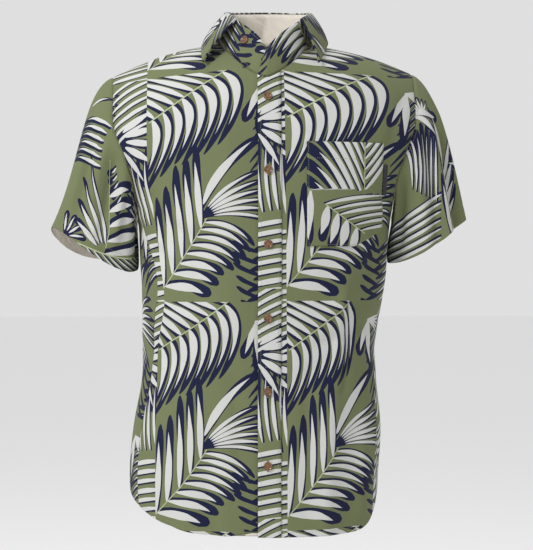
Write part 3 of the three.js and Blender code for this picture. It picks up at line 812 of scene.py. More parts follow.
class Shader:
    """One material under construction."""

    def __init__(self, name: str) -> None:
        """Starts an empty material.

        Args:
            name: the material's name.
        """
        self.material = bpy.data.materials.new(name)
        self.material.use_nodes = True
        self.tree = self.material.node_tree
        self.tree.nodes.clear()

    def node(
        self, kind: str, inputs: dict[Any, Any] | None = None, output: Any = 0, **settings: Any
    ) -> Socket:
        """Adds a node of any kind.

        Args:
            kind: the node's type.
            inputs: values or links by the input's name or number.
            output: the output to return, by name or number.
            settings: the node's settings, which are set first.

        Returns:
            The chosen output.
        """
        made = self.tree.nodes.new(kind)
        for name, value in settings.items():
            setattr(made, name, value)
        for name, value in (inputs or {}).items():
            if isinstance(value, Socket):
                self.tree.links.new(value.output, made.inputs[name])
            else:
                made.inputs[name].default_value = value
        return Socket(self, made.outputs[output] if len(made.outputs) else None)

    def chance(self, number: Socket) -> Socket:
        """A value from 0 to 1 that is the same for the same whole number."""
        return self.node("ShaderNodeTexWhiteNoise", {"W": number}, noise_dimensions="1D")

    def curve(self, value: Socket, points: tuple[tuple[float, float], ...]) -> Socket:
        """Reads a smooth curve through given points.

        Args:
            value: where to read it, from 0 to 1.
            points: the points, from 0 to 1 each way.

        Returns:
            The height of the curve.
        """
        read = self.node("ShaderNodeFloatCurve", {"Value": value})
        mapping = read.output.node.mapping
        line = mapping.curves[0]
        for place, height in points[1:-1]:
            line.points.new(place, height)
        for point, (place, height) in zip(line.points, points):
            point.location = (place, height)
        mapping.update()
        return read

    def uv(self, name: str) -> tuple[Socket, Socket]:
        """The two millimetre sizes of a UV map.

        Args:
            name: the map's name.

        Returns:
            Its first and second size.
        """
        place = self.node("ShaderNodeUVMap", uv_map=name)
        scaled = self.node("ShaderNodeVectorMath", {0: place, "Scale": 1000.0}, operation="SCALE")
        apart = self.node("ShaderNodeSeparateXYZ", {0: scaled})
        return apart, Socket(self, apart.output.node.outputs[1])

    def mix(self, factor: Any, first: Any, second: Any) -> Socket:
        """Goes from the first colour, where the factor is 0, to the second, where it is 1."""
        inputs = {0: factor, 6: first, 7: second}
        return self.node("ShaderNodeMix", inputs, 2, data_type="RGBA")

    def on_object(self, kind: str, inputs: dict[str, Any], **settings: Any) -> Socket:
        """Adds a texture node of any kind that lies on the object's own coordinates."""
        place = self.node("ShaderNodeTexCoord", output="Object")
        return self.node(kind, {"Vector": place, **inputs}, **settings)

    def finish(self, inputs: dict[str, Any]) -> bpy.types.Material:
        """Ends the material with one surface.

        Args:
            inputs: the surface's values or links by name.

        Returns:
            The material.
        """
        surface = self.node("ShaderNodeBsdfPrincipled", inputs)
        self.node("ShaderNodeOutputMaterial", {"Surface": surface})
        return self.material


def strongest(masks: list[Socket]) -> Socket:
    """A mask that is 1 wherever one of several masks is."""
    whole = masks[0]
    for mask in masks[1:]:
        whole = whole.maths("MAXIMUM", mask)
    return whole


Colour = tuple[float, float, float, float]


def paint(red: int, green: int, blue: int) -> Colour:
    """A colour as seen on a screen, from 0 to 255, as the shader wants it."""
    def linear(value: int) -> float:
        """One channel as an amount of light."""
        share = value / 255
        return share / 12.92 if share <= 0.04045 else ((share + 0.055) / 1.055) ** 2.4

    return linear(red), linear(green), linear(blue), 1.0


PALE_PROFILE = ((0, 0.1), (0.18, 0.72), (0.42, 1), (0.72, 0.62), (1, 0))
DARK_PROFILE = ((0, 0.5), (0.25, 0.78), (0.55, 0.86), (0.78, 1), (0.92, 0.7), (1, 0))
LENGTH_CHANCE = 0.16
Drawn = tuple[list[Socket], list[Socket], list[Socket]]


@dataclass(frozen=True)
class Blades:
    """A row of leaf blades along one side of a rib. Widths are shares of the spacing."""

    DARK_LENGTH: ClassVar[float] = 1.2
    SWAY: ClassVar[float] = 0.08
    WIDTH_CHANCE: ClassVar[tuple[float, float]] = (0.3, 0.85)
    PALE_ASIDE: ClassVar[float] = 0.4
    DARK_ASIDE: ClassVar[float] = 0.8

    first: float
    count: int
    spacing: float
    reach: float
    lean: float
    bend: float
    gain: float = 0.0
    squeeze: float = 0.0
    width: float = 0.3
    margin: float = 0.07
    shade: float = 0.14
    length: float = 1.0
    grow: float = 0.0
    pale_length: float = 1.0
    seed: float = 0.0

    def draw(self, shader: Shader, along: Socket, out: Socket) -> tuple[Socket, Socket]:
        """Draws the blades.

        Args:
            shader: the material.
            along: millimetres along the rib.
            out: millimetres away from the rib.

        Returns:
            Where the pale blades are, and where their dark shade is.
        """
        share = (out / self.reach).maths("MAXIMUM", 0.0)
        slide = share * (share * self.bend + along * self.gain + self.lean)
        root = along - slide
        place = root * (root * self.squeeze + 1 / self.spacing) + self.first
        number = place.maths("FLOOR")
        chance = shader.chance(number + self.seed)
        across = place - number - 0.5 + (chance - 0.5) * self.SWAY
        length = number * self.grow + self.length - chance * LENGTH_CHANCE
        run = share / length
        varied, least = self.WIDTH_CHANCE
        pale_half = shader.curve(run / self.pale_length, PALE_PROFILE) * (chance * varied + least)
        dark_half = shader.curve(run / self.DARK_LENGTH, DARK_PROFILE) * (self.width + self.margin)
        inside = (out > 0.0) * (place > 0.0) * (place < float(self.count))
        pale = (abs(across + self.shade * self.PALE_ASIDE) < pale_half * self.width) * inside
        dark = (abs(across - self.shade * self.DARK_ASIDE) < dark_half) * inside
        return pale, dark


@dataclass(frozen=True)
class Fan:
    """Blades that spread from one point. Angles are in degrees, up from the print's right."""

    DARK_LENGTH: ClassVar[float] = 1.15
    WIDTH_CHANCE: ClassVar[tuple[float, float]] = (0.4, 0.8)
    LONGEST: ClassVar[float] = 1.02
    DARK_ASIDE: ClassVar[float] = 1.0

    x: float
    y: float
    start: float
    count: int
    step: float
    reach: float
    curl: float = 0.0
    width: float = 3.0
    margin: float = 1.6
    inner: float = 0.1
    core: float = 0.0
    grow: float = 0.0
    seed: float = 0.0

    def draw(self, shader: Shader, x: Socket, y: Socket) -> Drawn:
        """Draws the blades.

        Args:
            shader: the material.
            x: millimetres across the print.
            y: millimetres down the print.

        Returns:
            The pale blades, their dark shades and no rib.
        """
        right, up = x - self.x, self.y - y
        far = (right * right + up * up).maths("SQRT")
        angle = up.maths("ARCTAN2", right) * (180 / math.pi)
        share = far / self.reach
        place = (angle + share * self.curl - self.start) / self.step
        number = place.maths("FLOOR")
        chance = shader.chance(number + self.seed)
        across = (place - number - 0.5) * far * math.radians(self.step)
        length = number * self.grow + self.LONGEST - self.inner - chance * LENGTH_CHANCE
        run = (share - self.inner) / length
        started = run > 0.0
        varied, least = self.WIDTH_CHANCE
        pale_half = shader.curve(run, PALE_PROFILE) * (chance * varied + least) * self.width
        dark_half = shader.curve(run / self.DARK_LENGTH, DARK_PROFILE) * (self.width + self.margin)
        inside = (place > 0.0) * (place < float(self.count))
        pale = (abs(across) < pale_half) * inside * started
        dark = (abs(across + self.DARK_ASIDE) < dark_half) * inside * started
        if self.core:
            dark = dark.maths("MAXIMUM", (far < self.core) * inside)
        return [pale], [dark], []


@dataclass(frozen=True)
class Frond:
    """A palm frond: a rib, straight or bowed, with a row of blades on each side."""

    base: tuple[float, float]
    tip: tuple[float, float]
    right: Blades | None = None
    left: Blades | None = None
    rib: float = 0.9
    bow: float = 0.0

    def draw(self, shader: Shader, x: Socket, y: Socket) -> Drawn:
        """Draws the frond.

        Args:
            shader: the material.
            x: millimetres across the print.
            y: millimetres down the print.

        Returns:
            The pale blades, their dark shades and the rib, if it shows.
        """
        run_x, run_y = self.tip[0] - self.base[0], self.tip[1] - self.base[1]
        length = math.hypot(run_x, run_y)
        way_x, way_y = run_x / length, run_y / length
        start = self.base[0] * way_x + self.base[1] * way_y
        aside = -self.base[0] * way_y + self.base[1] * way_x
        along = x * way_x + y * way_y - start
        out = y * way_x - x * way_y - aside
        if self.bow:
            out = out - along * (length - along) * (4 * self.bow / length**2)
        pales, darks = [], []
        for blades, sign in ((self.right, 1.0), (self.left, -1.0)):
            if blades is not None:
                pale, dark = blades.draw(shader, along, out * sign)
                pales.append(pale)
                darks.append(dark)
        ribs = [(abs(out) < self.rib) * (along > 0.0) * (along < length)] if self.rib else []
        return pales, darks, ribs


@dataclass(frozen=True)
class PalmPrint:
    """The printed cotton: palm fronds on olive, in blocks that repeat."""

    block_wide: float = 243.0
    block_long: float = 333.5
    olive: Colour = paint(103, 109, 78)
    pale: Colour = paint(187, 187, 185)
    navy: Colour = paint(24, 28, 54)
    stem: Colour = paint(158, 166, 134)
    cream: Colour = paint(214, 206, 195)
    fronds: tuple[Frond, ...] = (
        Frond(
            (3, 72), (116, -5),
            Blades(0.08, 8, 16.6, 66, -8, -44, gain=0.24, width=0.32, margin=0.19, shade=0.16,
                   length=0.96, grow=0.035, seed=3),
            Blades(0.03, 9, 16.4, 62, -6, -20, gain=-0.3, width=0.31, margin=0.08, shade=-0.2,
                   length=1.3, seed=11),
        ),
        Frond(
            (0, 314), (78, 215),
            Blades(0.3, 8, 30, 66, 64, -26, gain=-0.14, squeeze=0.00022, width=0.3, margin=0.12,
                   shade=0.14, length=0.88, grow=0.035, seed=23),
            Blades(0.45, 5, 27.5, 60, 84, -2, width=0.3, margin=0.09, shade=0.1, length=1.16,
                   grow=-0.05, seed=31),
            rib=0.7, bow=3,
        ),
        Frond(
            (170, 352), (152, 254), rib=0,
            left=Blades(0.05, 6, 16.5, 34, 14, 6, width=0, margin=0.24, shade=0, seed=43),
        ),
        Frond(
            (258, 338), (258, 226), rib=0,
            left=Blades(0.1, 8, 14, 76, -6, -8, width=0.25, margin=0.1, shade=-0.1, length=1.3,
                        seed=61),
        ),
        Frond(
            (258, 74), (258, -24), rib=0,
            left=Blades(0.1, 7, 13.4, 76, -14, -26, width=0.23, margin=0.1, shade=-0.1,
                        length=1.3, seed=63),
        ),
        Frond(
            (196, 226), (250, 218), rib=0,
            left=Blades(0.1, 5, 11.5, 96, -8, 16, width=0.24, margin=0.12, shade=0.12, seed=67),
        ),
    )
    fans: tuple[Fan, ...] = (
        Fan(68, 216, 12, 6, 8.2, 108, curl=20, width=2.5, margin=2, inner=0.2, core=28, seed=71),
        Fan(68, 216, 66, 1, 18, 140, curl=22, width=5.8, margin=2.4, inner=0.16, core=30, seed=73),
        Fan(192, 94, -58, 5, 22, 78, curl=8, width=4.4, margin=4.4, inner=0.26, core=30, seed=83),
        Fan(158, 25, -124, 2, 22, 56, width=5.4, margin=3, inner=0.04, grow=0.34, seed=89),
        Fan(152, 28, -34, 5, 9.5, 44, width=1.9, margin=1.1, inner=0.06, seed=97),
    )
    weave_step: float = 0.9
    unevenness: float = 1.4
    weave_height: float = 0.02
    show_through: float = 0.16

    def ink(self, shader: Shader) -> Socket:
        """Draws the print.

        Args:
            shader: the material.

        Returns:
            The print's colour.
        """
        u, v = shader.uv("print")
        x = (u / self.block_wide).maths("FRACT") * self.block_wide
        y = (v / self.block_long).maths("FRACT") * self.block_long
        pales, darks, stems = [], [], []
        for motif in (*self.fronds, *self.fans):
            for masks, drawn in zip((pales, darks, stems), motif.draw(shader, x, y)):
                masks.extend(drawn)
        inked = shader.mix(strongest(darks), self.olive, self.navy)
        inked = shader.mix(strongest(pales), inked, self.pale)
        return shader.mix(strongest(stems), inked, self.stem)

    @classmethod
    def for_pocket(cls) -> "PalmPrint":
        """The part of the cloth that the pocket is cut from, measured from its top left corner."""
        fronds = (
            Frond(
                (101, 60), (100, 172),
                Blades(0.23, 10, 24, 90, -226, 96, width=0.32, margin=0.09, shade=0.16,
                       pale_length=0.85, seed=3),
                Blades(0.3, 8, 15, 46, -46, -22, width=0.3, margin=0.12, shade=-0.14, seed=7),
                rib=0.6,
            ),
            Frond(
                (136, 291), (196, 333),
                Blades(0.1, 4, 17.5, 46, 20, -4, width=0.36, margin=0.1, shade=0.14, seed=13),
                Blades(0.5, 6, 13, 84, 66, 24, width=0.25, margin=0.12, shade=-0.1, seed=17),
                rib=0.7,
            ),
        )
        fans = (Fan(115, 266, -106, 1, 26, 80, width=6.4, margin=2.2, inner=0.04, seed=21),)
        return cls(block_wide=400, block_long=400, fronds=fronds, fans=fans)

    @classmethod
    def for_sleeve(cls, side: Side) -> "PalmPrint":
        """The part of the cloth that a sleeve is cut from, with its hem 260 mm down.

        Args:
            side: the wearer's left or right.

        Returns:
            The print.
        """
        fronds = {
            Side.RIGHT: (
                Frond(
                    (130, 240), (147, 112),
                    Blades(0.9, 5, 22, 96, 76, -34, width=0.24, margin=0.2, shade=0.16,
                           length=1.12, grow=-0.1, seed=5),
                    rib=0.6,
                ),
                Frond(
                    (84, 260), (180, 238),
                    Blades(0.1, 10, 12.5, 26, 34, 8, width=0.18, margin=0.24, shade=0.16, seed=15),
                    rib=1,
                ),
                Frond(
                    (122, 138), (130, 60), rib=0,
                    left=Blades(0.1, 6, 12, 88, -24, -2, width=0.22, margin=0.24, shade=-0.14,
                                length=1.05, seed=19),
                ),
                Frond(
                    (182, 166), (160, 100), rib=0,
                    left=Blades(0.1, 6, 10, 30, -14, 4, width=0.14, margin=0.3, shade=0.1,
                                pale_length=0.7, seed=45),
                ),
            ),
            Side.LEFT: (
                Frond(
                    (62, 156), (150, 212), rib=0,
                    left=Blades(0.1, 7, 13.5, 72, -48, 18, width=0.25, margin=0.34, shade=0.12,
                                length=1.15, seed=35),
                ),
                Frond(
                    (142, 272), (148, 186), rib=0,
                    left=Blades(0.1, 7, 12, 122, 6, -22, width=0.26, margin=0.16, shade=0.12,
                                length=1.3, seed=37),
                ),
                Frond(
                    (168, 264), (186, 160),
                    Blades(0.4, 4, 28, 26, 52, 0, width=0.4, margin=0.1, shade=0.12, seed=41),
                    Blades(0.55, 4, 36, 28, 72, 0, width=0.4, margin=0.1, shade=-0.1, length=1.1,
                           seed=47),
                    rib=0.6,
                ),
            ),
        }
        fans = {
            Side.RIGHT: (
                Fan(38, 68, 18, 1, 22, 46, width=2.4, margin=1.2, inner=0.04, seed=27),
                Fan(60, 264, 26, 4, 26, 38, curl=10, width=1.7, margin=3.6, inner=0.26, core=18,
                    seed=29),
                Fan(132, 252, 88, 4, 19, 116, curl=-14, width=4.4, margin=2.2, inner=0.16,
                    grow=-0.13, seed=33),
            ),
            Side.LEFT: (
                Fan(120, 58, -66, 2, 26, 72, width=6.4, margin=2.6, inner=0.12, core=12, seed=51),
                Fan(142, 76, 16, 5, 15, 36, width=1.8, margin=1.2, inner=0.16, seed=53),
            ),
        }
        behind = Frond(
            (262, 212), (462, 92),
            Blades(0.08, 14, 16.6, 70, -8, -40, gain=0.1, width=0.32, margin=0.19, shade=0.16,
                   seed=55),
            Blades(0.03, 14, 16.4, 66, -16, -20, gain=-0.1, width=0.31, margin=0.08, shade=-0.2,
                   length=1.2, seed=57),
        )
        return cls(
            block_wide=480, block_long=400, fronds=(*fronds[side], behind), fans=fans[side]
        )

    def weave(self, shader: Shader) -> Socket:
        """The plain weave and the small unevenness of pressed cotton, as a height.

        Args:
            shader: the material.

        Returns:
            The height.
        """
        u, v = shader.uv("edges")
        soft = shader.on_object("ShaderNodeTexNoise", {"Scale": 28.0, "Detail": 3.0})
        warp = (u * (math.tau / self.weave_step)).maths("SINE")
        weft = (v * (math.tau / self.weave_step)).maths("SINE")
        return soft * self.unevenness + warp * weft * self.weave_height

    def surface(self, shader: Shader, colour: Socket) -> bpy.types.Material:
        """Finishes the cloth.

        Args:
            shader: the material.
            colour: the cloth's colour.

        Returns:
            The material.
        """
        relief = {"Height": self.weave(shader), "Strength": 0.5, "Distance": 0.0012}
        return shader.finish({
            "Base Color": colour,
            "Roughness": 0.82,
            "Sheen Weight": 0.04,
            "Sheen Roughness": 0.5,
            "Specular IOR Level": 0.12,
            "Normal": shader.node("ShaderNodeBump", relief),
        })

    def printed(self, name: str) -> bpy.types.Material:
        """The right side of the cloth, as a material of that name."""
        shader = Shader(name)
        return self.surface(shader, self.ink(shader))

    def wrong_side(self) -> bpy.types.Material:
        """The wrong side, with the print only faintly showing through."""
        shader = Shader("cotton_wrong_side")
        return self.surface(shader, shader.mix(self.show_through, self.cream, self.ink(shader)))


@dataclass(frozen=True)
class ButtonHorn:
    """Polished horn-look resin in mottled browns."""

    dark: Colour = paint(50, 30, 18)
    light: Colour = paint(134, 88, 52)
    streak_from: float = 0.34
    streak_contrast: float = 3.2

    def material(self) -> bpy.types.Material:
        """Makes the material."""
        shader = Shader("button_horn")
        spots = {"Scale": 210.0, "Detail": 4.0, "Distortion": 1.6}
        mottle = shader.on_object("ShaderNodeTexNoise", spots)
        streaks = (mottle - self.streak_from) * self.streak_contrast
        streaks = streaks.maths("MINIMUM", 1.0).maths("MAXIMUM", 0.0)
        return shader.finish({
            "Base Color": shader.mix(streaks, self.dark, self.light),
            "Roughness": 0.28,
            "Coat Weight": 0.35,
            "Coat Roughness": 0.12,
        })


@dataclass(frozen=True)
class Thread:
    """Sewing thread."""

    colour: Colour = paint(112, 116, 82)
    # A paler colour that stands for painted sheen on the thread.
    sheen: Colour = paint(150, 152, 118)

    def material(self) -> bpy.types.Material:
        """Makes the material."""
        shader = Shader("sewing_thread")
        # Small noise specks, about the size of the thread's twist, blend in the paler colour as
        # painted sheen.
        twist = shader.on_object("ShaderNodeTexNoise", {"Scale": 1500.0, "Detail": 2.0})
        return shader.finish(
            {"Base Color": shader.mix(twist, self.colour, self.sheen), "Roughness": 0.7}
        )


@dataclass(frozen=True)
class WovenTape:
    """Black woven tape."""

    colour: Colour = paint(34, 34, 40)
    rib_colour: Colour = paint(54, 54, 60)

    def material(self) -> bpy.types.Material:
        """Makes the material."""
        shader = Shader("black_tape")
        wave = {"Scale": 420.0, "Distortion": 0.4}
        ribs = shader.on_object("ShaderNodeTexWave", wave, bands_direction="Z")
        relief = {"Height": ribs, "Strength": 0.4, "Distance": 0.0003}
        return shader.finish({
            "Base Color": shader.mix(ribs * 0.5, self.colour, self.rib_colour),
            "Roughness": 0.7,
            "Normal": shader.node("ShaderNodeBump", relief),
        })


class Finishes:
    """The materials that the pieces share."""

    def __init__(self) -> None:
        """Makes each material once."""
        cotton = PalmPrint()
        self.printed = cotton.printed("palm_print_cotton")
        self.pocket_print = PalmPrint.for_pocket().printed("palm_print_pocket")
        self.sleeve_prints = {
            side: PalmPrint.for_sleeve(side).printed(f"palm_print_sleeve_{side.name.lower()}")
            for side in Side
        }
        self.wrong_side = cotton.wrong_side()
        self.horn = ButtonHorn().material()
        self.thread = Thread().material()
        self.tape = WovenTape().material()
        self.sewing = Sewing()


# The body


@dataclass(frozen=True)
class PrintLay:
    """How a block of the print lies on a front.

    The table gives, by drop, where the block's edge is, its scale across and its start down.
    """

    table: SmoothTable
    skew: float = 0.0
    skew_from: float = 60
    skew_to: float = 380

    def place(self, u: np.ndarray, v: np.ndarray, drop: np.ndarray) -> np.ndarray:
        """Measures places on a front from the block's corner.

        Args:
            u: millimetres across the cloth from the centre line.
            v: millimetres down the cloth.
            drop: how far down the body each place is.

        Returns:
            Millimetres across and down the print.
        """
        across = (u - self.table.at(drop, 1)) * self.table.at(drop, 2)
        fade = np.clip(1 - (drop - self.skew_from) / (self.skew_to - self.skew_from), 0, 1)
        down = v - self.table.at(drop, 3) - self.skew * across * fade
        return np.stack([across, down], axis=-1)


@dataclass
class Body:
    """The fronts, the back, the yoke and the placket."""

    cut: Cut
    form: BodyForm
    steps: GridSteps
    lay: dict[Side, PrintLay] = field(default_factory=lambda: {
        Side.LEFT: PrintLay(SmoothTable((
            (60, 25.9, 0.82, 50.7), (220, 27, 0.9, 53), (392, 28.4, 1.06, 57),
            (480, 29.5, 1.05, 57), (700, 30, 1, 57),
        ))),
        Side.RIGHT: PrintLay(SmoothTable((
            (60, -175.5, 0.93, 58.7), (220, -173, 0.95, 58.7), (300, -162, 1.02, 58.7),
            (392, -150, 1.17, 58.7), (466, -163, 1.04, 58.7), (700, -164, 1, 58.7),
        )), skew=-0.1),
    })
    flat_part: tuple[float, float] = (0.95, 0.2)
    level_part: tuple[float, float] = (40, 60)
    tuck_across: tuple[float, float] = (110, 20)
    tuck_down: tuple[float, float] = (440, 70)
    tuck: float = 20
    back_lay: tuple[float, float] = (91, 790)
    yoke_lay: tuple[float, float] = (200, 720)
    placket_lay: tuple[float, float] = (218, -39)
    placket_top_row: int = 3
    fronts: dict[Side, Sheet] = field(init=False)
    whole_back: Sheet = field(init=False)

    def __post_init__(self) -> None:
        """Lays out the sheets."""
        self.fronts = {side: self._front(side) for side in Side}
        left = self._half(Side.LEFT, Face.BACK)
        right = self._half(Side.RIGHT, Face.BACK)
        self.whole_back = Sheet(np.concatenate([right[::-1], left[1:]]))

    def _half(self, side: Side, face: Face) -> np.ndarray:
        """One half of the front or the back.

        Args:
            side: the wearer's left or right.
            face: front or back.

        Returns:
            The points, column by column from the centre to the side.
        """
        cut, form, sign = self.cut, self.form, side.value
        shares = self.steps.shares(cut)
        in_front = face is Face.FRONT
        neck = self.steps.neck_front(cut) if in_front else self.steps.neck_back(cut)

        def turn(angle: Values) -> Values:
            """The angle from the centre front, of one from this face's centre."""
            return angle if in_front else np.sign(angle) * 180 - angle

        def hem(angle: float) -> float:
            """The hem's drop at an angle from this face's centre."""
            return form.hem_drop(float(turn(angle)))

        columns = []
        for x in neck:
            start = form.neck_drop(face, x)
            end = hem(sign * float(form.angle_at(x, cut.side_hem_drop)) or sign * 0.01)
            drop = start + (end - start) * shares
            angle = sign * form.angle_at(x, drop)
            angle = np.where(angle == 0, sign * 1e-6, angle)
            columns.append(form.point(turn(angle), drop))
        shoulder = cut.shoulder_drop[side]
        side_hem = hem(sign * float(form.edge(side, face, cut.side_hem_drop)))
        edge_drop = shoulder + (side_hem - shoulder) * shares
        first_top = float(form.angle_at(cut.neck_half, 0))
        first_hem = float(form.angle_at(cut.neck_half, cut.side_hem_drop))
        last_top = float(form.edge(side, face, shoulder))
        last_hem = float(form.edge(side, face, cut.side_hem_drop))
        widest = form.SECTION.rows[0][form.HALF]
        for across in self.steps.side():
            top_angle = first_top + (last_top - first_top) * across
            top_x = widest * math.sin(math.radians(top_angle)) ** (2 / form.SQUARENESS)
            top = float(form.ridge_drop(np.array(sign * top_x)))
            bottom = hem(sign * (first_hem + (last_hem - first_hem) * across))
            drop = top + (bottom - top) * shares
            near = form.angle_at(cut.neck_half, drop)
            angle = near + (form.edge(side, face, edge_drop) - near) * across
            columns.append(form.point(turn(sign * angle), drop))
        return np.array(columns)

    def _front(self, side: Side) -> Sheet:
        """A whole front; the right one goes back under the left along the lap.

        Args:
            side: the wearer's left or right.

        Returns:
            The sheet.
        """
        points = self._half(side, Face.FRONT)
        if side is Side.RIGHT:
            neck = self.steps.neck_front(self.cut)
            x = np.concatenate([neck, np.full(len(points) - len(neck), self.cut.neck_half)])
            start, end = self.cut.lap_fade
            lapped = np.clip((end - x) / (end - start), 0, 1)
            points[:, :, 1] += self.cut.lap_recess * lapped[:, None]
            points[:, -1, 2] += self.cut.underlap_short * lapped
        return Sheet(points)

    def armhole_row(self, side: Side) -> int:
        """The row at the underarm, where the front's edge meets the back's."""
        back_edge = self.whole_back.points[-1 if side is Side.LEFT else 0]
        apart = np.linalg.norm(self.fronts[side].points[-1] - back_edge, axis=-1)
        return 2 + int(np.argmax(apart[2:] < 1.0))

    def yoke_row(self) -> int:
        """The row that lies at the yoke's seam."""
        return int(np.argmin(np.abs(self.steps.armhole(self.cut) - self.cut.yoke_share)))

    def print_on_front(self, side: Side) -> np.ndarray:
        """Where the print lies on a front, block corner first.

        Args:
            side: the wearer's left or right.

        Returns:
            Millimetres across and down the print for each point.
        """
        points = self.fronts[side].points
        x, drop = points[..., 0], -points[..., 2]
        half = self.form.SECTION.at(drop, self.form.HALF)
        flat = np.clip((self.flat_part[0] - np.abs(x) / half) / self.flat_part[1], 0, 1)
        steps = np.diff(points, axis=0)
        long = np.linalg.norm(steps, axis=-1) * side.value
        weight = (flat[1:] + flat[:-1]) / 2
        across = np.insert(np.cumsum(long + (steps[..., 0] - long) * weight, axis=0), 0, 0, axis=0)
        u = across + x[:1]
        rows = np.diff(points, axis=1)
        fall = np.linalg.norm(rows, axis=-1)
        level = np.clip((drop - self.level_part[0]) / self.level_part[1], 0, 1)
        weight = (level[:, 1:] + level[:, :-1]) / 2
        down = np.insert(np.cumsum(fall + (-rows[..., 2] - fall) * weight, axis=1), 0, 0, axis=1)
        v = down - down[:, -1:] + drop[:, -1:]
        if side is Side.LEFT:
            tucked = np.clip((x - self.tuck_across[0]) / self.tuck_across[1], 0, 1)
            fade = np.exp(-(((drop - self.tuck_down[0]) / self.tuck_down[1]) ** 2))
            u = u + self.tuck * tucked * tucked * (3 - 2 * tucked) * fade
        return self.lay[side].place(u, v, drop)

    def print_on_back(self) -> np.ndarray:
        """Where the print lies on the back and the yoke, from the middle of the back's hem."""
        across = self.whole_back.run(0)
        down = self.whole_back.run(1)
        return np.stack([across[len(across) // 2] - across, down - down[:, -1:]], axis=-1)

    def build(self, finishes: Finishes) -> None:
        """Makes the body's pieces.

        Args:
            finishes: the materials.
        """
        cut = self.cut
        yoke_row = self.yoke_row()
        back_print = self.print_on_back()
        hem = {"bottom": cut.hem_wide}
        hem_row, top_row = ("bottom", cut.hem_stitch), ("top", cut.seam_stitch)
        for side, flat, area in (
            (Side.RIGHT, (0.27, 0.73), 0.167),
            (Side.LEFT, (0.29, 0.73), 0.177),
        ):
            node = f"{side.name.lower()}_front"
            ClothPiece(
                f"shirt_{node}", (node,), self.fronts[side], self.print_on_front(side), flat, area,
                "draped", ("shirt_yoke",), Seams(("top", "last"), hem), sewn=(hem_row, top_row),
            ).build(finishes)
        back = self.whole_back.cut_out(slice(None), slice(yoke_row, None))
        ClothPiece(
            "shirt_back", ("back",), back, back_print[:, yoke_row:] + self.back_lay,
            (0.6, 0.62), 0.342, "draped", ("shirt_yoke",),
            Seams(("top", "first", "last"), hem), sewn=(hem_row,),
        ).build(finishes)
        yoke = self.whole_back.cut_out(slice(None), slice(0, yoke_row + 1))
        ClothPiece(
            "shirt_yoke", ("yoke",), yoke, back_print[:, : yoke_row + 1] + self.yoke_lay,
            (0.5, 0.17), 0.071, "draped", (),
            Seams(("top", "bottom", "first", "last")),
            sewn=(
                ("bottom", cut.seam_stitch),
                ("first", cut.armhole_stitch),
                ("last", cut.armhole_stitch),
            ),
        ).build(finishes)
        columns = slice(0, 2 * self.steps.neck_steps + 1)
        placket = self.fronts[Side.LEFT].cut_out(columns, slice(self.placket_top_row, None))
        at = np.stack([placket.points[..., 0], -placket.points[..., 2]], axis=-1)
        ClothPiece(
            "shirt_placket", ("placket",), placket, at + self.placket_lay,
            (0.036, 0.68), 0.023, "laid", ("shirt_left_front",),
            Seams((), {"first": cut.placket_fold, "last": cut.placket_fold}),
            lift=cut.laid_gap + cut.solid_cloth,
            sewn=(("first", cut.placket_stitch), ("last", cut.placket_stitch)),
        ).build(finishes)


# The sleeves


@dataclass(frozen=True)
class SleeveFold:
    """A ridge or trough that runs down a sleeve. The angle is round it from the shoulder."""

    angle: float
    start: float
    end: float
    width: float
    depth: float
    twist: float = 0.0


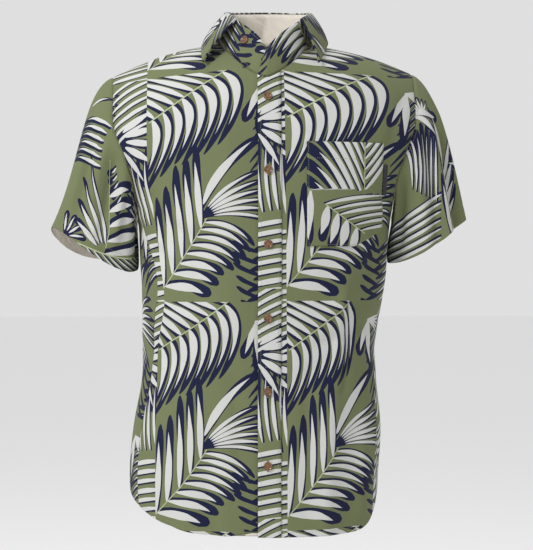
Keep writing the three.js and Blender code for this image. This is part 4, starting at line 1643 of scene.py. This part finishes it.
@dataclass
class Sleeve:
    """One sleeve, from its armhole to its turned-up hem."""

    body: Body
    side: Side
    outer: tuple[float, float]
    inner: tuple[float, float]
    half_deep: float
    twist: float
    sag: float
    skew: float
    hem_lean: float
    shoulder_out: float
    folds: tuple[SleeveFold, ...]
    area: float
    print_across: float
    rows: int = 62
    print_hem: float = 260
    shoulder_down: float = 18
    underarm_leave: tuple[float, float] = (2.5, 22)
    underarm_lean: float = 0.08
    hem_straight: float = 0.42
    hem_wide: float = 24
    hem_stitch: float = 22.5
    seam_depth: float = 1.2
    fine_rows: tuple[float, ...] = (0.004, 0.01, 0.985, 0.994)
    fold_grows: float = 0.3
    fold_fades: float = 0.1

    def _ring(self) -> np.ndarray:
        """The armhole, from the shoulder down the front and up the back."""
        last = self.body.armhole_row(self.side)
        front = self.body.fronts[self.side].points[-1, : last + 1]
        column = -1 if self.side is Side.LEFT else 0
        back = self.body.whole_back.points[column, 1:last][::-1]
        return np.concatenate([front, back])

    def _angles(self, ring: np.ndarray) -> np.ndarray:
        """The angle of each point of the armhole, by the length of its edge.

        Args:
            ring: the armhole's points.

        Returns:
            The angles round the sleeve.
        """
        last = self.body.armhole_row(self.side)
        steps = np.linalg.norm(np.roll(ring, -1, 0) - ring, axis=-1)
        run = np.insert(np.cumsum(steps), 0, 0)
        front, whole = run[last], run[-1]
        place = run[:-1]
        return np.where(
            np.arange(len(ring)) <= last,
            180 * place / front,
            180 + 180 * (place - front) / (whole - front),
        )

    def _points(self, ring: np.ndarray, angles: np.ndarray) -> tuple[np.ndarray, np.ndarray]:
        """The sleeve before its folds.

        Args:
            ring: the armhole's points.
            angles: their angles round the sleeve.

        Returns:
            The grid's points, and how far down the sleeve each of its rows is.
        """
        sign = self.side.value
        turned = np.radians(angles)
        outer = np.array([sign * self.outer[0], 0, self.outer[1]])
        inner = np.array([sign * self.inner[0], 0, self.inner[1]])
        middle, reach = (outer + inner) / 2, (outer - inner) / 2
        hem = middle + reach * np.cos(turned)[:, None]
        hem[:, 1] += BodyForm.RIDGE_Y - self.half_deep * np.sin(turned)
        hem[:, 2] += self.twist * np.sin(turned) - self.sag * np.sin(turned) ** 2
        hem[:, 2] += self.skew * np.sin(2 * turned)
        length = np.linalg.norm(hem - ring, axis=-1)
        top = (1 + np.cos(turned)) / 2
        out = self.shoulder_out * top + self.underarm_leave[0] * (1 - top)
        down = self.shoulder_down * top + self.underarm_leave[1] * (1 - top)
        leave = ring + np.stack([sign * out, 0 * out, -down], axis=-1)
        lean = self.hem_lean * top + self.underarm_lean * (1 - top)
        up = np.stack([-sign * lean, 0 * lean, np.sqrt(1 - lean * lean)], axis=-1)
        arrive = hem + up * (self.hem_straight * length)[:, None]
        share = np.sort(np.concatenate([np.linspace(0, 1, self.rows + 1), self.fine_rows]))
        t = share[None, :, None]
        points = (
            ring[:, None] * (1 - t) ** 3
            + 3 * leave[:, None] * t * (1 - t) ** 2
            + 3 * arrive[:, None] * t * t * (1 - t)
            + hem[:, None] * t**3
        )
        return points, share

    def sheet(self) -> Sheet:
        """The sleeve's cloth, which starts and ends at the underarm seam."""
        ring = self._ring()
        angles = self._angles(ring)
        points, share = self._points(ring, angles)
        out = points - points.mean(axis=0, keepdims=True)
        out /= np.linalg.norm(out, axis=-1, keepdims=True)
        depth = np.zeros(points.shape[:2])
        for fold in self.folds:
            at = fold.angle + fold.twist * share[None, :]
            away = ((angles[:, None] - at + 540) % 360 - 180) / fold.width
            grow = np.clip((share - fold.start) / self.fold_grows, 0, 1)
            fade = np.clip((fold.end + self.fold_fades - share) / self.fold_fades, 0, 1)
            depth += fold.depth * np.exp(-away * away) * (grow * fade)[None, :]
        points = points + out * depth[..., None]
        points = np.roll(points, -self.body.armhole_row(self.side), axis=0)
        return Sheet(points, True, lambda grid: grid.mean(axis=0, keepdims=True))

    def build(self, finishes: Finishes) -> None:
        """Makes the sleeve.

        Args:
            finishes: the materials.
        """
        cloth = self.sheet()
        closed = np.concatenate([cloth.points, cloth.points[:1]])
        steps = np.linalg.norm(np.diff(closed, axis=0), axis=-1)
        around = np.insert(np.cumsum(steps, axis=0), 0, 0, axis=0)
        around = around - around[-1:] / 2
        down = cloth.run(1)
        down = np.concatenate([down, down[:1]])
        across = self.print_across - self.side.value * around
        at = np.stack([across, down - down[:, -1:] + self.print_hem], axis=-1)
        name = self.side.name.lower()
        ClothPiece(
            f"shirt_sleeve_{name}", (f"sleeve_{name}",), cloth, at,
            (0.46, 0.26), self.area, "draped", ("shirt_yoke",),
            Seams(("top",), {"bottom": self.hem_wide}, depth=self.seam_depth),
            sewn=(("bottom", self.hem_stitch), ("top", self.body.cut.armhole_stitch)),
        ).build(finishes, finishes.sleeve_prints[self.side])


LEFT_SLEEVE = {
    "side": Side.LEFT,
    "outer": (311, -270),
    "inner": (192.8, -334),
    "half_deep": 64,
    "twist": 0,
    "sag": 9,
    "skew": 3,
    "hem_lean": 0.22,
    "shoulder_out": 42,
    "folds": tuple(SleeveFold(*sizes) for sizes in (
        (24, 0.1, 1.0, 10, 6), (58, 0.05, 1.0, 10, 7, 6), (76, 0.05, 0.98, 9, -9, 4),
        (100, 0.1, 1.0, 13, 5, -4), (235, 0.2, 1.0, 16, -5), (300, 0.3, 1.0, 18, 4),
        (41, 0.3, 1.0, 8, -12, 2), (128, 0.0, 0.8, 10, -7, 12), (152, 0.0, 0.6, 9, 5, 8),
        (262, 0.2, 0.9, 7, 2.4, 10), (210, 0.05, 0.7, 7, 2.4, -8), (330, 0.3, 1.0, 8, -2),
    )),
    "area": 0.066,
    "print_across": 236,
}
RIGHT_SLEEVE = {
    "side": Side.RIGHT,
    "outer": (324, -286),
    "inner": (190.8, -343),
    "half_deep": 66,
    "twist": 3,
    "sag": 10,
    "skew": 9,
    "hem_lean": 0.45,
    "shoulder_out": 50,
    "folds": tuple(SleeveFold(*sizes) for sizes in (
        (30, 0.35, 1.0, 18, 3), (112, 0.0, 0.85, 9, -8, -16), (146, 0.0, 0.95, 12, 6, -8),
        (225, 0.15, 1.0, 16, -5), (290, 0.3, 1.0, 18, 4), (130, 0.0, 0.75, 8, 6, -22),
        (90, 0.0, 0.7, 9, 6, -20), (66, 0.1, 0.8, 9, -5, -10), (48, 0.3, 1.0, 10, 3, -8),
        (164, 0.0, 0.8, 9, -8, 6), (255, 0.15, 0.9, 7, 2.4, 8), (205, 0.05, 0.7, 7, 2.4, -8),
        (335, 0.3, 1.0, 8, -2),
    )),
    "area": 0.072,
    "print_across": 0,
}


# The collar


@dataclass
class Collar:
    """The stand and the leaf that falls over it."""

    body: Body
    stand_top: SmoothTable = SmoothTable((
        (0, -1, -101, -21), (1, 6, -99, -10), (2, 17, -93, 3), (3, 31, -81, 15), (4, 47, -56, 29),
        (5, 62, -6, 46), (6, 56, 24, 51), (7, 40, 41, 54), (8, 20, 51, 56), (9, 0, 55, 57),
    ))
    leaf_edge: SmoothTable = SmoothTable((
        (4, 80, -88, -38), (5, 95, -10, 1), (6, 87, 36, 3), (7, 64, 64, 6), (8, 33, 79, 8),
        (9, 0, 84, 9),
    ))
    leaf_start: float = 4
    bulge: float = 3
    roll: float = 3.2
    crest: float = 1.2
    fold_gap: float = 0.5
    spread: dict[Side, float] = sides(0, 13)
    lean: float = 0.11
    lean_from: float = -30
    cloth: float = 1.7
    stand_rows: int = 9
    leaf_rows: int = 22
    leaf_columns: int = 54
    centre_back: float = 9
    fold_rise: float = 0.7
    stand_ahead: float = 20
    leaf_inside: tuple[float, float, float] = (0, -10, -60)
    leaf_hem: float = 6.0
    stitch: float = 5.0
    stand_lay: tuple[float, float] = (107, 262)
    leaf_lay: tuple[float, float] = (152, 72)

    def _leaned(self, points: np.ndarray) -> np.ndarray:
        """Leans the collar towards the wearer's left as it rises."""
        points = points.copy()
        points[..., 0] += self.lean * np.maximum(0, points[..., 2] - self.lean_from)
        return points

    def _top(self, side: Side, place: np.ndarray) -> np.ndarray:
        """The stand's upper edge.

        Args:
            side: the wearer's left or right.
            place: steps round the neck from the front end.

        Returns:
            A point for each step.
        """
        points = self.stand_top.points(place)
        if side is Side.RIGHT:
            points[..., 1] += self.body.cut.lap_recess * np.clip(2 - place / 2, 0, 1)
        points[..., 0] *= side.value
        return self._leaned(points)

    def _neckline(self, side: Side) -> np.ndarray:
        """The neck seam, from the front end to the centre back.

        Args:
            side: the wearer's left or right.

        Returns:
            The points.
        """
        steps = self.body.steps.neck_steps
        front = self.body.fronts[side].points[: 5 * steps + 1, 0]
        back = self.body.whole_back.points[:, 0]
        middle = len(back) // 2
        if side is Side.LEFT:
            half = back[middle: middle + 4 * steps][::-1]
        else:
            half = back[middle - 4 * steps + 1: middle + 1]
        return np.concatenate([front, half])

    def _both(self, half: Callable[[Side], np.ndarray]) -> np.ndarray:
        """Joins the right and the left half at the centre back."""
        return np.concatenate([half(Side.RIGHT), half(Side.LEFT)[::-1][1:]])

    def stand(self) -> Sheet:
        """The stand's cloth, with its upper edge first."""
        def half(side: Side) -> np.ndarray:
            """One half of the stand, from its front end to the centre back.

            Args:
                side: the wearer's left or right.

            Returns:
                The points.
            """
            low = self._neckline(side)
            high = self._top(side, np.linspace(0, self.centre_back, len(low)))
            share = np.linspace(0, 1, self.stand_rows)[None, :, None]
            return high[:, None] * (1 - share) + low[:, None] * share

        return Sheet(self._both(half), False, lambda grid: body_inside(grid, self.stand_ahead, 0))

    def leaf(self) -> Sheet:
        """The leaf's cloth, with its fold first."""
        def half(side: Side) -> np.ndarray:
            """One half of the leaf, from its front end to the centre back.

            Args:
                side: the wearer's left or right.

            Returns:
                The points.
            """
            place = np.linspace(self.leaf_start, self.centre_back, self.leaf_columns)
            fold = self._top(side, place)
            edge = self.leaf_edge.points(place)
            edge[:, 0] += self.spread[side] * np.clip(1 - (place - self.leaf_start), 0, 1)
            edge[:, 0] *= side.value
            edge = self._leaned(edge)
            out = (edge - fold) * (1, 1, 0)
            out = (out / np.linalg.norm(out, axis=-1, keepdims=True))[:, None]
            share = np.linspace(0, 1, self.leaf_rows)[None, :, None]
            up = np.array([0, 0, 1.0])
            rolled = out * self.roll * (1 - share) + up * self.crest * (1 - share)
            bulged = out * self.bulge * 4 * share * (1 - share)
            body = fold[:, None] + rolled + (edge - fold)[:, None] * share + bulged
            start = (fold + (0, 0, self.fold_gap))[:, None]
            crest = start * 0.5 + body[:, :1] * 0.5 + up * self.fold_rise
            return np.concatenate([start, crest, body], axis=1)

        return Sheet(self._both(half), False, lambda grid: grid * 0 + self.leaf_inside)

    def build(self, finishes: Finishes) -> None:
        """Makes the collar.

        Args:
            finishes: the materials.
        """
        stand, leaf = self.stand(), self.leaf()
        at = self._lay(stand) + self.stand_lay
        ClothPiece(
            "shirt_collar_stand", ("collar_stand",), stand, at, (0.45, 0.06), 0.0238,
            "folded", ("shirt_yoke",), Seams(("bottom",)), cloth=self.cloth,
            sewn=(("top", self.stitch), ("bottom", self.stitch)),
        ).build(finishes)
        at = self._lay(leaf) + self.leaf_lay
        edges = ("bottom", "first", "last")
        ClothPiece(
            "shirt_collar_leaf", ("collar_leaf",), leaf, at, (0.46, 0.1), 0.0248,
            "folded", ("shirt_collar_stand",), Seams((), dict.fromkeys(edges, self.leaf_hem)),
            cloth=self.cloth, lift=self.cloth, sewn=tuple((edge, self.stitch) for edge in edges),
        ).build(finishes)

    def _lay(self, cloth: Sheet) -> np.ndarray:
        """Where the print lies on the stand or the leaf, from the middle of its upper edge."""
        down = cloth.run(1)
        across = cloth.run(0)[:, -1:] + 0 * down
        return np.stack([across - across[len(across) // 2], down], axis=-1)


# What lies on the left front


@dataclass
class Pocket:
    """The chest pocket and the tab sewn into its outer edge."""

    body: Body
    left: float = 58
    right: float = 173
    top: float = 159
    bottom: float = 311
    corner: float = 24
    corner_wide: float = 46
    columns: int = 33
    rows: int = 40
    gap: float = 0.95
    cloth: float = 1.3
    hem_wide: float = 26
    hem_stitch: float = 24.5
    edge_wide: float = 3.0
    edge_stitch: float = 2.2
    lay: tuple[float, float] = (15, 100)
    join: float = 71.5
    join_step: tuple[float, float] = (95, 100)
    tab_left: float = 175.5
    tab_right: float = 182.5
    tab_top: float = 190
    tab_bottom: float = 234
    tab_thick: float = 1.1
    tab_cuts: int = 6
    tab_edge: float = 0.35

    def _patch(self, x: np.ndarray, bottom: np.ndarray) -> Sheet:
        """The pocket's cloth, which lies on the left front.

        Args:
            x: the columns.
            bottom: the lower edge's drop at each column.

        Returns:
            The sheet.
        """
        share = np.linspace(0, 1, self.rows + 1)[None, :]
        drop = self.top + (bottom - self.top)[:, None] * share
        across = np.broadcast_to(x[:, None], drop.shape)
        form = self.body.form
        return Sheet(form.point(form.angle_at(across, drop), drop))

    def build(self, finishes: Finishes) -> None:
        """Makes the pocket and the tab.

        Args:
            finishes: the materials.
        """
        x = np.linspace(self.left, self.right, self.columns)
        into = np.clip((x - (self.right - self.corner_wide)) / self.corner_wide, 0, 1)
        sheet = self._patch(x, self.bottom - self.corner * into)
        across = sheet.points[..., 0] - self.left
        down = -sheet.points[..., 2] - self.top
        at = np.stack([across, down], axis=-1) + self.lay
        at += (down > self.join)[..., None] * self.join_step
        edges = ("first", "last", "bottom")
        ClothPiece(
            "shirt_pocket", ("pocket",), sheet, at, (0.122, 0.157), 0.0188,
            "laid", ("shirt_left_front",),
            Seams((), {**dict.fromkeys(edges, self.edge_wide), "top": self.hem_wide}),
            cloth=self.cloth, lift=self.gap + self.body.cut.solid_cloth,
            sewn=(*((edge, self.edge_stitch) for edge in edges), ("top", self.hem_stitch)),
        ).build(finishes, finishes.pocket_print)
        self._tab(finishes)

    def _tab(self, finishes: Finishes) -> None:
        """Makes the tab: a short folded piece of tape.

        Args:
            finishes: the materials.
        """
        form = self.body.form
        drop = np.array([self.tab_top, self.tab_bottom])
        across = np.array([self.tab_left, self.tab_right])
        corners = form.point(form.angle_at(across, drop.mean()), np.full(2, drop.mean()))
        upright = form.point(form.angle_at(np.full(2, across.mean()), drop), drop)
        wide = Vector(corners[1] - corners[0])
        tall = Vector(upright[1] - upright[0])
        out = wide.cross(tall).normalized()
        if out.y > 0:
            out = -out
        deselect_all()
        bpy.ops.mesh.primitive_cube_add(size=1, location=(0, 0, 0))
        tab = bpy.context.object
        tab.name = "woven_tab"
        bpy.ops.transform.resize(value=(wide.length, tall.length, self.tab_thick))
        bpy.ops.object.transform_apply(location=True, rotation=True, scale=True)
        bpy.ops.object.mode_set(mode="EDIT")
        bpy.ops.mesh.select_all(action="SELECT")
        bpy.ops.mesh.subdivide(number_cuts=self.tab_cuts)
        bpy.ops.object.mode_set(mode="OBJECT")
        bevel = tab.modifiers.new("edges", "BEVEL")
        bevel.width = self.tab_edge
        bevel.segments = 2
        bpy.ops.object.modifier_apply(modifier=bevel.name)
        middle = Vector(upright.mean(axis=0)) + out * (self.gap + self.tab_thick / 2)
        columns = (wide.normalized(), -tall.normalized(), out, middle)
        rows = [[column[axis] for column in columns] for axis in range(3)]
        place = Matrix((*rows, (0, 0, 0, 1)))
        tab.data.transform(Matrix.Scale(TO_METRES, 4) @ place)
        tab.data.materials.append(finishes.tape)
        bpy.ops.object.shade_smooth_by_angle(angle=math.radians(35))
        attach(tab, BODY)
        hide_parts("pocket_tab")
        LOG.info("woven_tab: %d faces", len(tab.data.polygons))


def deselect_all() -> None:
    """Leaves nothing selected, in object mode."""
    if bpy.context.object is not None and bpy.context.object.mode != "OBJECT":
        bpy.ops.object.mode_set(mode="OBJECT")
    bpy.ops.object.select_all(action="DESELECT")


def select_faces(made: bpy.types.Object, wanted: Callable[[Vector], bool]) -> None:
    """Selects some faces of the active object and goes into edit mode.

    Args:
        made: the object.
        wanted: tells from a face's centre whether it is selected.
    """
    bpy.ops.object.mode_set(mode="EDIT")
    bpy.ops.mesh.select_mode(type="FACE")
    bpy.ops.mesh.select_all(action="DESELECT")
    bpy.ops.object.mode_set(mode="OBJECT")
    for face in made.data.polygons:
        face.select = wanted(face.center)
    bpy.ops.object.mode_set(mode="EDIT")


def join(parts: list[bpy.types.Object]) -> bpy.types.Object:
    """Joins some objects into the first of them.

    Args:
        parts: the objects.

    Returns:
        The first object.
    """
    deselect_all()
    for part in parts:
        part.select_set(True)
    bpy.context.view_layer.objects.active = parts[0]
    bpy.ops.object.join()
    return parts[0]


@dataclass
class Buttons:
    """The buttons down the placket and the one on the stand."""

    body: Body
    stand: Sheet
    radius: float = 6.2
    thick: float = 2.6
    x: float = 1.5
    first_drop: float = 93.5
    spacing: float = 107.3
    count: int = 6
    gap: float = 0.55
    sides: int = 40
    hole_radius: float = 0.75
    hole_apart: float = 1.5
    dish: float = 0.9
    rim: float = 1.7
    thread_radius: float = 0.32
    thread_rise: float = 0.35
    dish_step: float = 0.7
    rounding: float = 0.55
    spin: float = 37
    hole_long: float = 15.0
    stand_place: float = 3
    stand_share: float = 0.35

    def _model(self, finishes: Finishes) -> bpy.types.Object:
        """Models one button with its thread, its back on Z = 0.

        Args:
            finishes: the materials.

        Returns:
            The button, in millimetres.
        """
        deselect_all()
        bpy.ops.mesh.primitive_cylinder_add(
            vertices=self.sides, radius=self.radius, depth=self.thick,
            location=(0, 0, self.thick / 2),
        )
        button = bpy.context.object
        bpy.ops.object.transform_apply(location=True, rotation=True, scale=True)
        select_faces(button, lambda centre: centre.z > self.thick - 0.01)
        bpy.ops.mesh.inset(thickness=self.rim, depth=0)
        bpy.ops.mesh.inset(thickness=self.dish_step, depth=-self.dish)
        bpy.ops.object.mode_set(mode="OBJECT")
        bevel = button.modifiers.new("rounding", "BEVEL")
        bevel.width = self.rounding
        bevel.segments = 3
        bevel.limit_method = "ANGLE"
        bevel.angle_limit = math.radians(35)
        bpy.ops.object.modifier_apply(modifier=bevel.name)
        self._drill(button)
        button.data.materials.append(finishes.horn)
        bpy.ops.object.shade_smooth_by_angle(angle=math.radians(32))
        return join([button, self._thread(finishes)])

    def _drill(self, button: bpy.types.Object) -> None:
        """Cuts the four holes.

        Args:
            button: the button.
        """
        drills = []
        for x in (-1, 1):
            for y in (-1, 1):
                deselect_all()
                bpy.ops.mesh.primitive_cylinder_add(
                    vertices=14, radius=self.hole_radius, depth=3 * self.thick,
                    location=(x * self.hole_apart, y * self.hole_apart, 0),
                )
                drills.append(bpy.context.object)
        drill = join(drills)
        deselect_all()
        button.select_set(True)
        bpy.context.view_layer.objects.active = button
        cut = button.modifiers.new("holes", "BOOLEAN")
        cut.operation = "DIFFERENCE"
        cut.solver = "EXACT"
        cut.object = drill
        bpy.ops.object.modifier_apply(modifier=cut.name)
        bpy.data.objects.remove(drill)

    def _thread(self, finishes: Finishes) -> bpy.types.Object:
        """Models the stitches: two bars from hole to hole, bent down into the holes.

        Args:
            finishes: the materials.

        Returns:
            The thread.
        """
        level = self.thick - self.dish + self.thread_rise
        bars = []
        for y in (-1, 1):
            deselect_all()
            bpy.ops.mesh.primitive_cylinder_add(
                vertices=10, radius=self.thread_radius, depth=2 * self.hole_apart,
                location=(0, y * self.hole_apart, level), rotation=(0, math.pi / 2, 0),
            )
            bar = bpy.context.object
            bpy.ops.object.transform_apply(location=True, rotation=True, scale=True)
            for end in (-1, 1):
                select_faces(bar, lambda centre: centre.x * end > self.hole_apart - 0.01)
                for way in ((end * 0.3, 0, -0.35), (0, 0, -1.6)):
                    bpy.ops.mesh.extrude_region_move(TRANSFORM_OT_translate={"value": way})
                bpy.ops.object.mode_set(mode="OBJECT")
            bars.append(bar)
        thread = join(bars)
        thread.data.materials.append(finishes.thread)
        bpy.ops.object.shade_smooth_by_angle(angle=math.radians(50))
        return thread

    def _seats(self) -> list[tuple[str, str, np.ndarray, np.ndarray]]:
        """Where each button sits: its name, its node, its seat and the way it faces."""
        form, cut = self.body.form, self.body.cut
        lift = cut.laid_gap + cut.solid_cloth + self.gap
        seats = []
        for number in range(self.count):
            drop = self.first_drop + self.spacing * number
            near = np.array([drop - self.radius, drop, drop + self.radius])
            points = form.point(form.angle_at(np.full(3, self.x), near), near)
            down = points[2] - points[0]
            out = np.cross(down, [1, 0, 0])
            out = out / np.linalg.norm(out)
            out = out if out[1] < 0 else -out
            node = f"button_{number + 1}"
            seats.append((f"sewn_{node}", node, points[1] + out * lift, out))
        column = int(self.stand_place * self.body.steps.neck_steps)
        row = int(round(self.stand_share * (self.stand.points.shape[1] - 1)))
        out = self.stand.outs[column, row]
        seat = self.stand.points[column, row] + out * self.gap
        seats.append(("sewn_button_stand", "button_stand", seat, out))
        return seats

    def build(self, finishes: Finishes) -> None:
        """Makes every button from the one that is modelled.

        Args:
            finishes: the materials.
        """
        model = self._model(finishes)
        for number, (name, node, seat, out) in enumerate(self._seats()):
            mesh = model.data.copy()
            turn = Vector(out).to_track_quat("Z", "Y").to_matrix().to_4x4()
            spin = Matrix.Rotation(math.radians(self.spin * number), 4, "Z")
            place = Matrix.Translation(Vector(seat)) @ turn @ spin
            mesh.transform(Matrix.Scale(TO_METRES, 4) @ place)
            made = add_object(name, mesh)
            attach(made, BODY)
            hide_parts(node)
            slit = [1.0, 0, 0] if node.endswith("stand") else [0, 0, -1.0]
            slit = np.array(slit) - np.dot(slit, out) * out
            slit /= np.linalg.norm(slit)
            finishes.sewing.buttonhole(seat - out * (self.gap - 0.2), slit, out, self.hole_long)
        LOG.info("buttons: %d of %d faces", number + 1, len(model.data.polygons))
        bpy.data.objects.remove(model)


# The studio


@dataclass
class Studio:
    """The floor, the lights and the camera."""

    distance: float = 2.3
    azimuth: float = 2.5
    eye_drop: float = 0.353
    focal_pixels: float = 1496.5
    image_wide: int = 533
    image_high: int = 550
    centre_x: float = 263.0
    floor_drop: float = 1.25
    floor_wide: float = 60
    floor_pale: float = 0.95
    sky: float = 0.74
    lights: tuple[tuple[str, tuple[float, float, float], float, float], ...] = (
        ("key_light", (-1.7, -1.7, 1.3), 0.8, 58),
        ("fill_light", (1.6, -2.4, 0.2), 1.6, 3),
        ("top_light", (0.3, 0.9, 2.0), 1.6, 12),
    )

    def build(self) -> None:
        """Makes the floor, the lights, the sky and the camera."""
        self._floor()
        bpy.context.scene.view_settings.view_transform = "Standard"
        for name, place, size, watts in self.lights:
            self._light(name, place, size, watts)
        self._sky()
        self._camera()

    def _floor(self) -> None:
        """Makes the plain pale floor."""
        deselect_all()
        bpy.ops.mesh.primitive_plane_add(size=self.floor_wide, location=(0, 0, -self.floor_drop))
        floor = bpy.context.object
        floor.name = "studio_floor"
        pale = (self.floor_pale, self.floor_pale, self.floor_pale, 1)
        white = Shader("floor_white").finish({"Base Color": pale, "Roughness": 0.9})
        floor.data.materials.append(white)

    def _light(
        self, name: str, place: tuple[float, float, float], size: float, watts: float
    ) -> None:
        """Adds one soft light that faces the shirt.

        Args:
            name: its name.
            place: where it stands, in metres.
            size: how wide it is, in metres.
            watts: how strong it is.
        """
        data = bpy.data.lights.new(name, "AREA")
        data.size = size
        data.energy = watts
        light = add_object(name, data)
        light.location = place
        aim = Vector((0, 0, -self.eye_drop)) - Vector(place)
        light.rotation_euler = aim.to_track_quat("-Z", "Y").to_euler()

    def _sky(self) -> None:
        """Fills the room with even light."""
        world = bpy.data.worlds.new("studio")
        world.use_nodes = True
        sky = world.node_tree.nodes["Background"]
        sky.inputs["Color"].default_value = (1, 1, 1, 1)
        sky.inputs["Strength"].default_value = self.sky
        bpy.context.scene.world = world

    def _camera(self) -> None:
        """Places the camera where the photograph was taken."""
        data = bpy.data.cameras.new("camera")
        longer = max(self.image_wide, self.image_high)
        data.sensor_width = 36
        data.lens = self.focal_pixels / longer * data.sensor_width
        data.shift_x = (self.image_wide / 2 - self.centre_x) / longer
        data.clip_end = 100
        camera = add_object("camera", data)
        turned = math.radians(self.azimuth)
        camera.location = (
            -self.distance * math.sin(turned),
            -self.distance * math.cos(turned),
            -self.eye_drop,
        )
        camera.rotation_euler = (math.pi / 2, 0, -turned)
        bpy.context.scene.camera = camera


def main() -> None:
    """Builds the shirt and the studio, piece by piece."""
    logging.basicConfig(level=logging.INFO, format="%(name)s: %(message)s")
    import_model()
    finishes = Finishes()
    cut = Cut()
    body = Body(cut, BodyForm(cut), GridSteps())
    body.build(finishes)
    for sizes in (LEFT_SLEEVE, RIGHT_SLEEVE):
        Sleeve(body, **sizes).build(finishes)
    collar = Collar(body)
    collar.build(finishes)
    Pocket(body).build(finishes)
    Buttons(body, collar.stand()).build(finishes)
    finishes.sewing.build(finishes)
    Studio().build()


if __name__ == "__main__":
    main()
